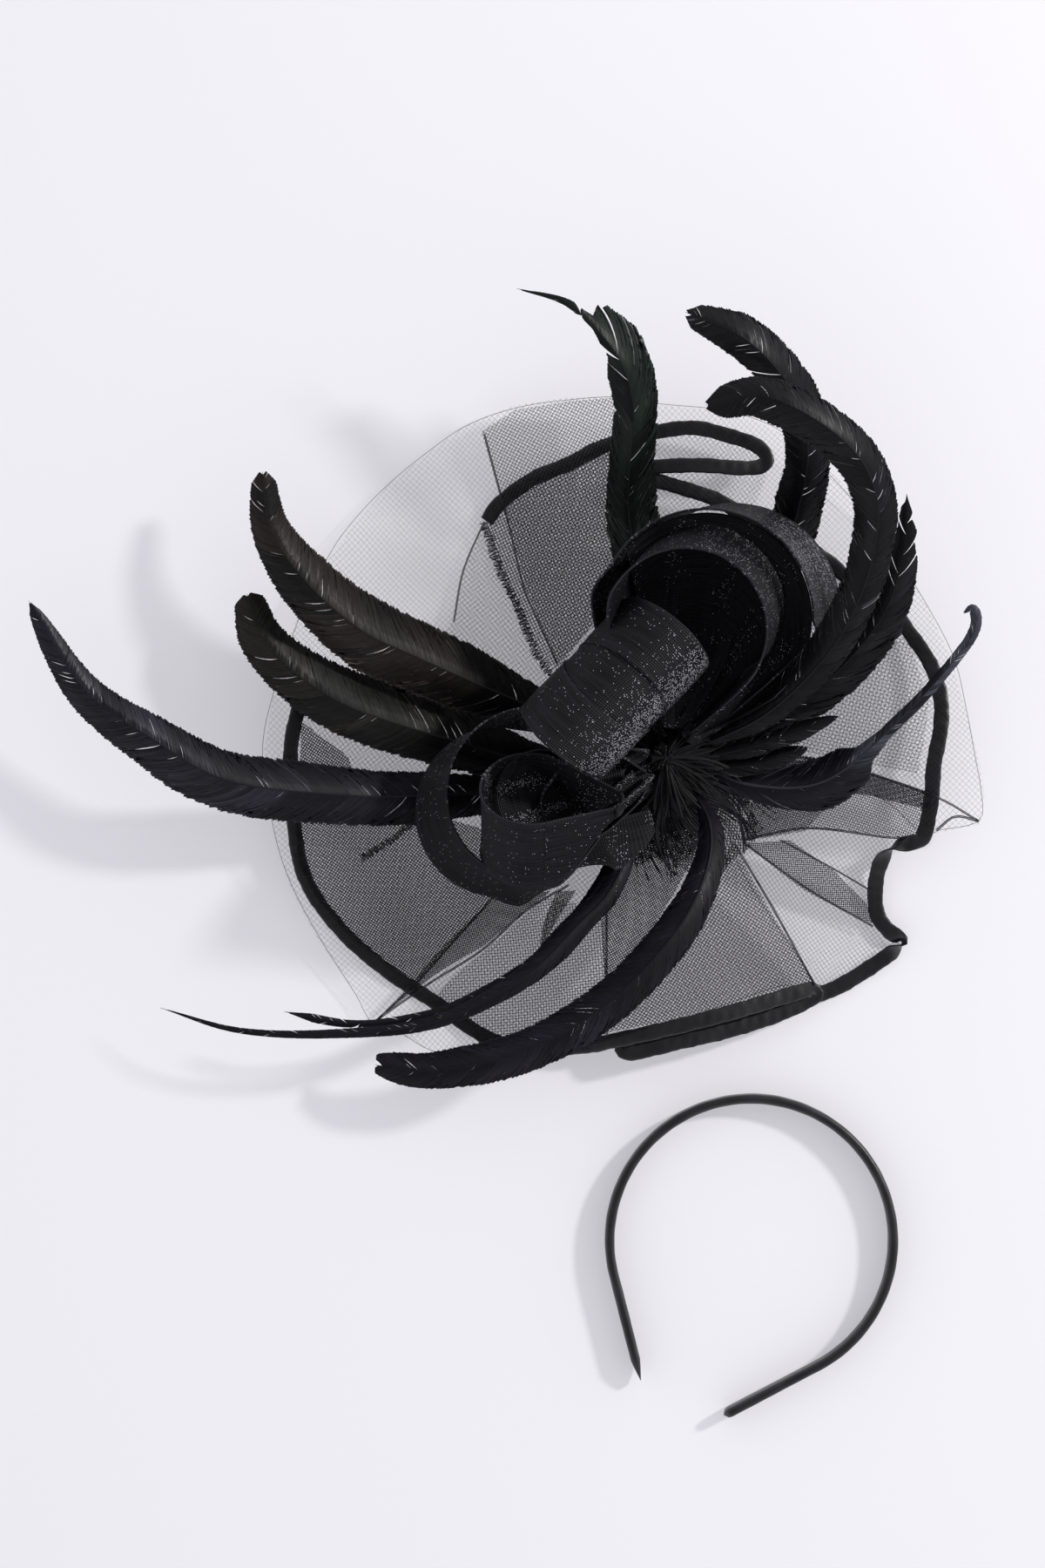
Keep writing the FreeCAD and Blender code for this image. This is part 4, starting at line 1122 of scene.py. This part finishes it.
def make_knot_tuft():
    """Stray barbs and cut quill ends that stick out of the knot and hide the thread."""
    random = np.random.default_rng(61)
    parts = []
    for index in range(TUFT_BARBS):
        turn = math.radians(random.uniform(-110, 75) if index % 3 else random.uniform(0, 360))
        reach = random.uniform(11, 28) if index % 3 else random.uniform(8, 16)
        start = random.uniform(-6, 4)
        far = np.linspace(start, reach, 7)
        bend = turn + random.uniform(-0.25, 0.25) * ((far - start) / reach) ** 2
        height = random.uniform(27, 35) - random.uniform(7, 12) * ((far - start) / (reach - start)) ** 1.4
        line = np.column_stack([far * np.cos(bend), far * np.sin(bend), height])
        parts.append(thread_prism(line, random.uniform(0.5, 1.3), 0.4))
    points, faces = gather(parts)
    make_piece("knot_tuft", points, faces, MATERIAL["black"], "fascinator",
               uv=("barb", np.zeros((len(points), 2))), smooth=False)


# ---- the loose headband ----

BAND_RADIUS = 60.5
BAND_START, BAND_END = math.radians(-62.3), math.radians(194.3)
RIGHT_LEG, LEFT_LEG = 45.0, 46.0

def make_headband():
    """Satin stretched over the band, pointed at its left end and rounded at its right."""
    low, high = (np.array(corner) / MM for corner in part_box("headband_satin"))
    centre = np.array([38.0, high[1] - 62.5])
    line = [centre + BAND_RADIUS * np.array([math.cos(a), math.sin(a)])
            for a in np.linspace(BAND_START, BAND_END, 180)]
    down_right = np.array([math.sin(BAND_START), -math.cos(BAND_START)])
    down_left = np.array([-math.sin(BAND_END), math.cos(BAND_END)])
    right = [line[0] + down_right * RIGHT_LEG * s for s in np.linspace(1, 0.03, 30)]
    left = [line[-1] + down_left * LEFT_LEG * s for s in np.linspace(0.03, 1, 30)]
    path = np.array(right + line + left)
    path = np.column_stack([path, np.full(len(path), (low[2] + high[2]) / 2)])
    far = np.r_[0, np.cumsum(np.linalg.norm(np.diff(path, axis=0), axis=1))]
    along = directions(path)
    side = np.column_stack([-along[:, 1], along[:, 0], np.zeros(len(path))])
    up = np.array([0, 0, 1.0])
    tall = (high[2] - low[2]) / 2
    whole = far[-1]
    round_end = np.sqrt(np.clip(1 - (1 - np.clip(far / 3.0, 0, 1)) ** 2, 0.02, 1))
    point_end = np.clip((whole - far) / 9.0, 0.05, 1) ** 0.8
    crease = 1 + 0.015 * np.sin(far / 1.7) + 0.02 * np.sin(far / 7.3)
    rings = []
    for turn in np.linspace(0, 2 * math.pi, 20, endpoint=False):
        flat = np.sign(math.cos(turn)) * abs(math.cos(turn)) ** 0.55
        high_share = np.sign(math.sin(turn)) * abs(math.sin(turn)) ** 0.55
        wide = 2.1 * round_end * point_end * crease * flat
        rise = tall * 0.985 * np.minimum(round_end, point_end ** 0.5) * high_share
        rings.append(path + side * wide[:, None] + up * rise[:, None])
    points, faces = loft(np.stack(rings, axis=1))
    cover = make_piece("headband_satin_cover", points, faces, MATERIAL["band_satin"], "headband")
    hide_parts("headband_satin", "headband_core")


# ---- hard parts carried over from the frame ----

def dress_hard_parts():
    felt = make_plain_material("base_felt", (0.020, 0.020, 0.024), 0, 0.95, 900, 0.0004)
    steel = make_plain_material("clip_steel", (0.55, 0.55, 0.56), 1, 0.32, 400, 0.0001)
    bright = make_plain_material("pin_steel", (0.66, 0.66, 0.64), 1, 0.24, 500, 0.00008)
    finish = {"base_disc": felt}
    for node in ("clip_plate", "clip_jaw", "clip_hinge_pin", "clip_spring"):
        finish[node] = steel
    for node in ("brooch_bar", "brooch_rivet", "brooch_pin", "brooch_catch"):
        finish[node] = bright
    for node, material in finish.items():
        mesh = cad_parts[node].data
        for index in range(len(mesh.materials)):
            mesh.materials[index] = material
        if not mesh.materials:
            mesh.materials.append(material)


make_camera()
make_floor()
make_lights()
MATERIAL = {
    "net": make_net_material("net_thread", 1.0),
    "sheer_net": make_net_material("sheer_net_thread", 0.5),
    "fine_net": make_net_material("fine_net_thread", 0.95),
    "ribbon": make_ribbon_material(),
    "satin": make_satin_material("binding_satin", (0.001, 0.001, 0.002), (0.012, 0.012, 0.015), 0.36),
    "band_satin": make_satin_material("headband_satin", (0.003, 0.003, 0.004), (0.016, 0.015, 0.019), 0.38),
    "thread": make_satin_material("knot_thread", (0.001, 0.001, 0.001), (0.004, 0.004, 0.005), 0.6),
    "slate": make_feather_material("barbs_slate", (0.003, 0.003, 0.006), (0.024, 0.022, 0.035)),
    "olive": make_feather_material("barbs_olive", (0.003, 0.003, 0.003), (0.018, 0.016, 0.012)),
    "brown": make_feather_material("barbs_brown", (0.003, 0.003, 0.003), (0.022, 0.015, 0.013)),
    "green": make_feather_material("barbs_green", (0.002, 0.003, 0.003), (0.008, 0.016, 0.011), 0.12),
    "black": make_feather_material("barbs_black", (0.002, 0.002, 0.003), (0.008, 0.007, 0.010), 0.18),
    "curl": make_feather_material("barbs_curl", (0.010, 0.010, 0.015), (0.110, 0.110, 0.145)),
    "navy": make_feather_material("barbs_navy", (0.002, 0.002, 0.004), (0.012, 0.009, 0.019)),
}
make_knot()
make_knot_tuft()
make_nets()
make_seams()
make_binding()
make_barrel()
make_front_loop()
make_open_loops()
make_inner_folds()
make_drawn_ribbons()
make_gather()
make_feathers()
make_headband()
dress_hard_parts()
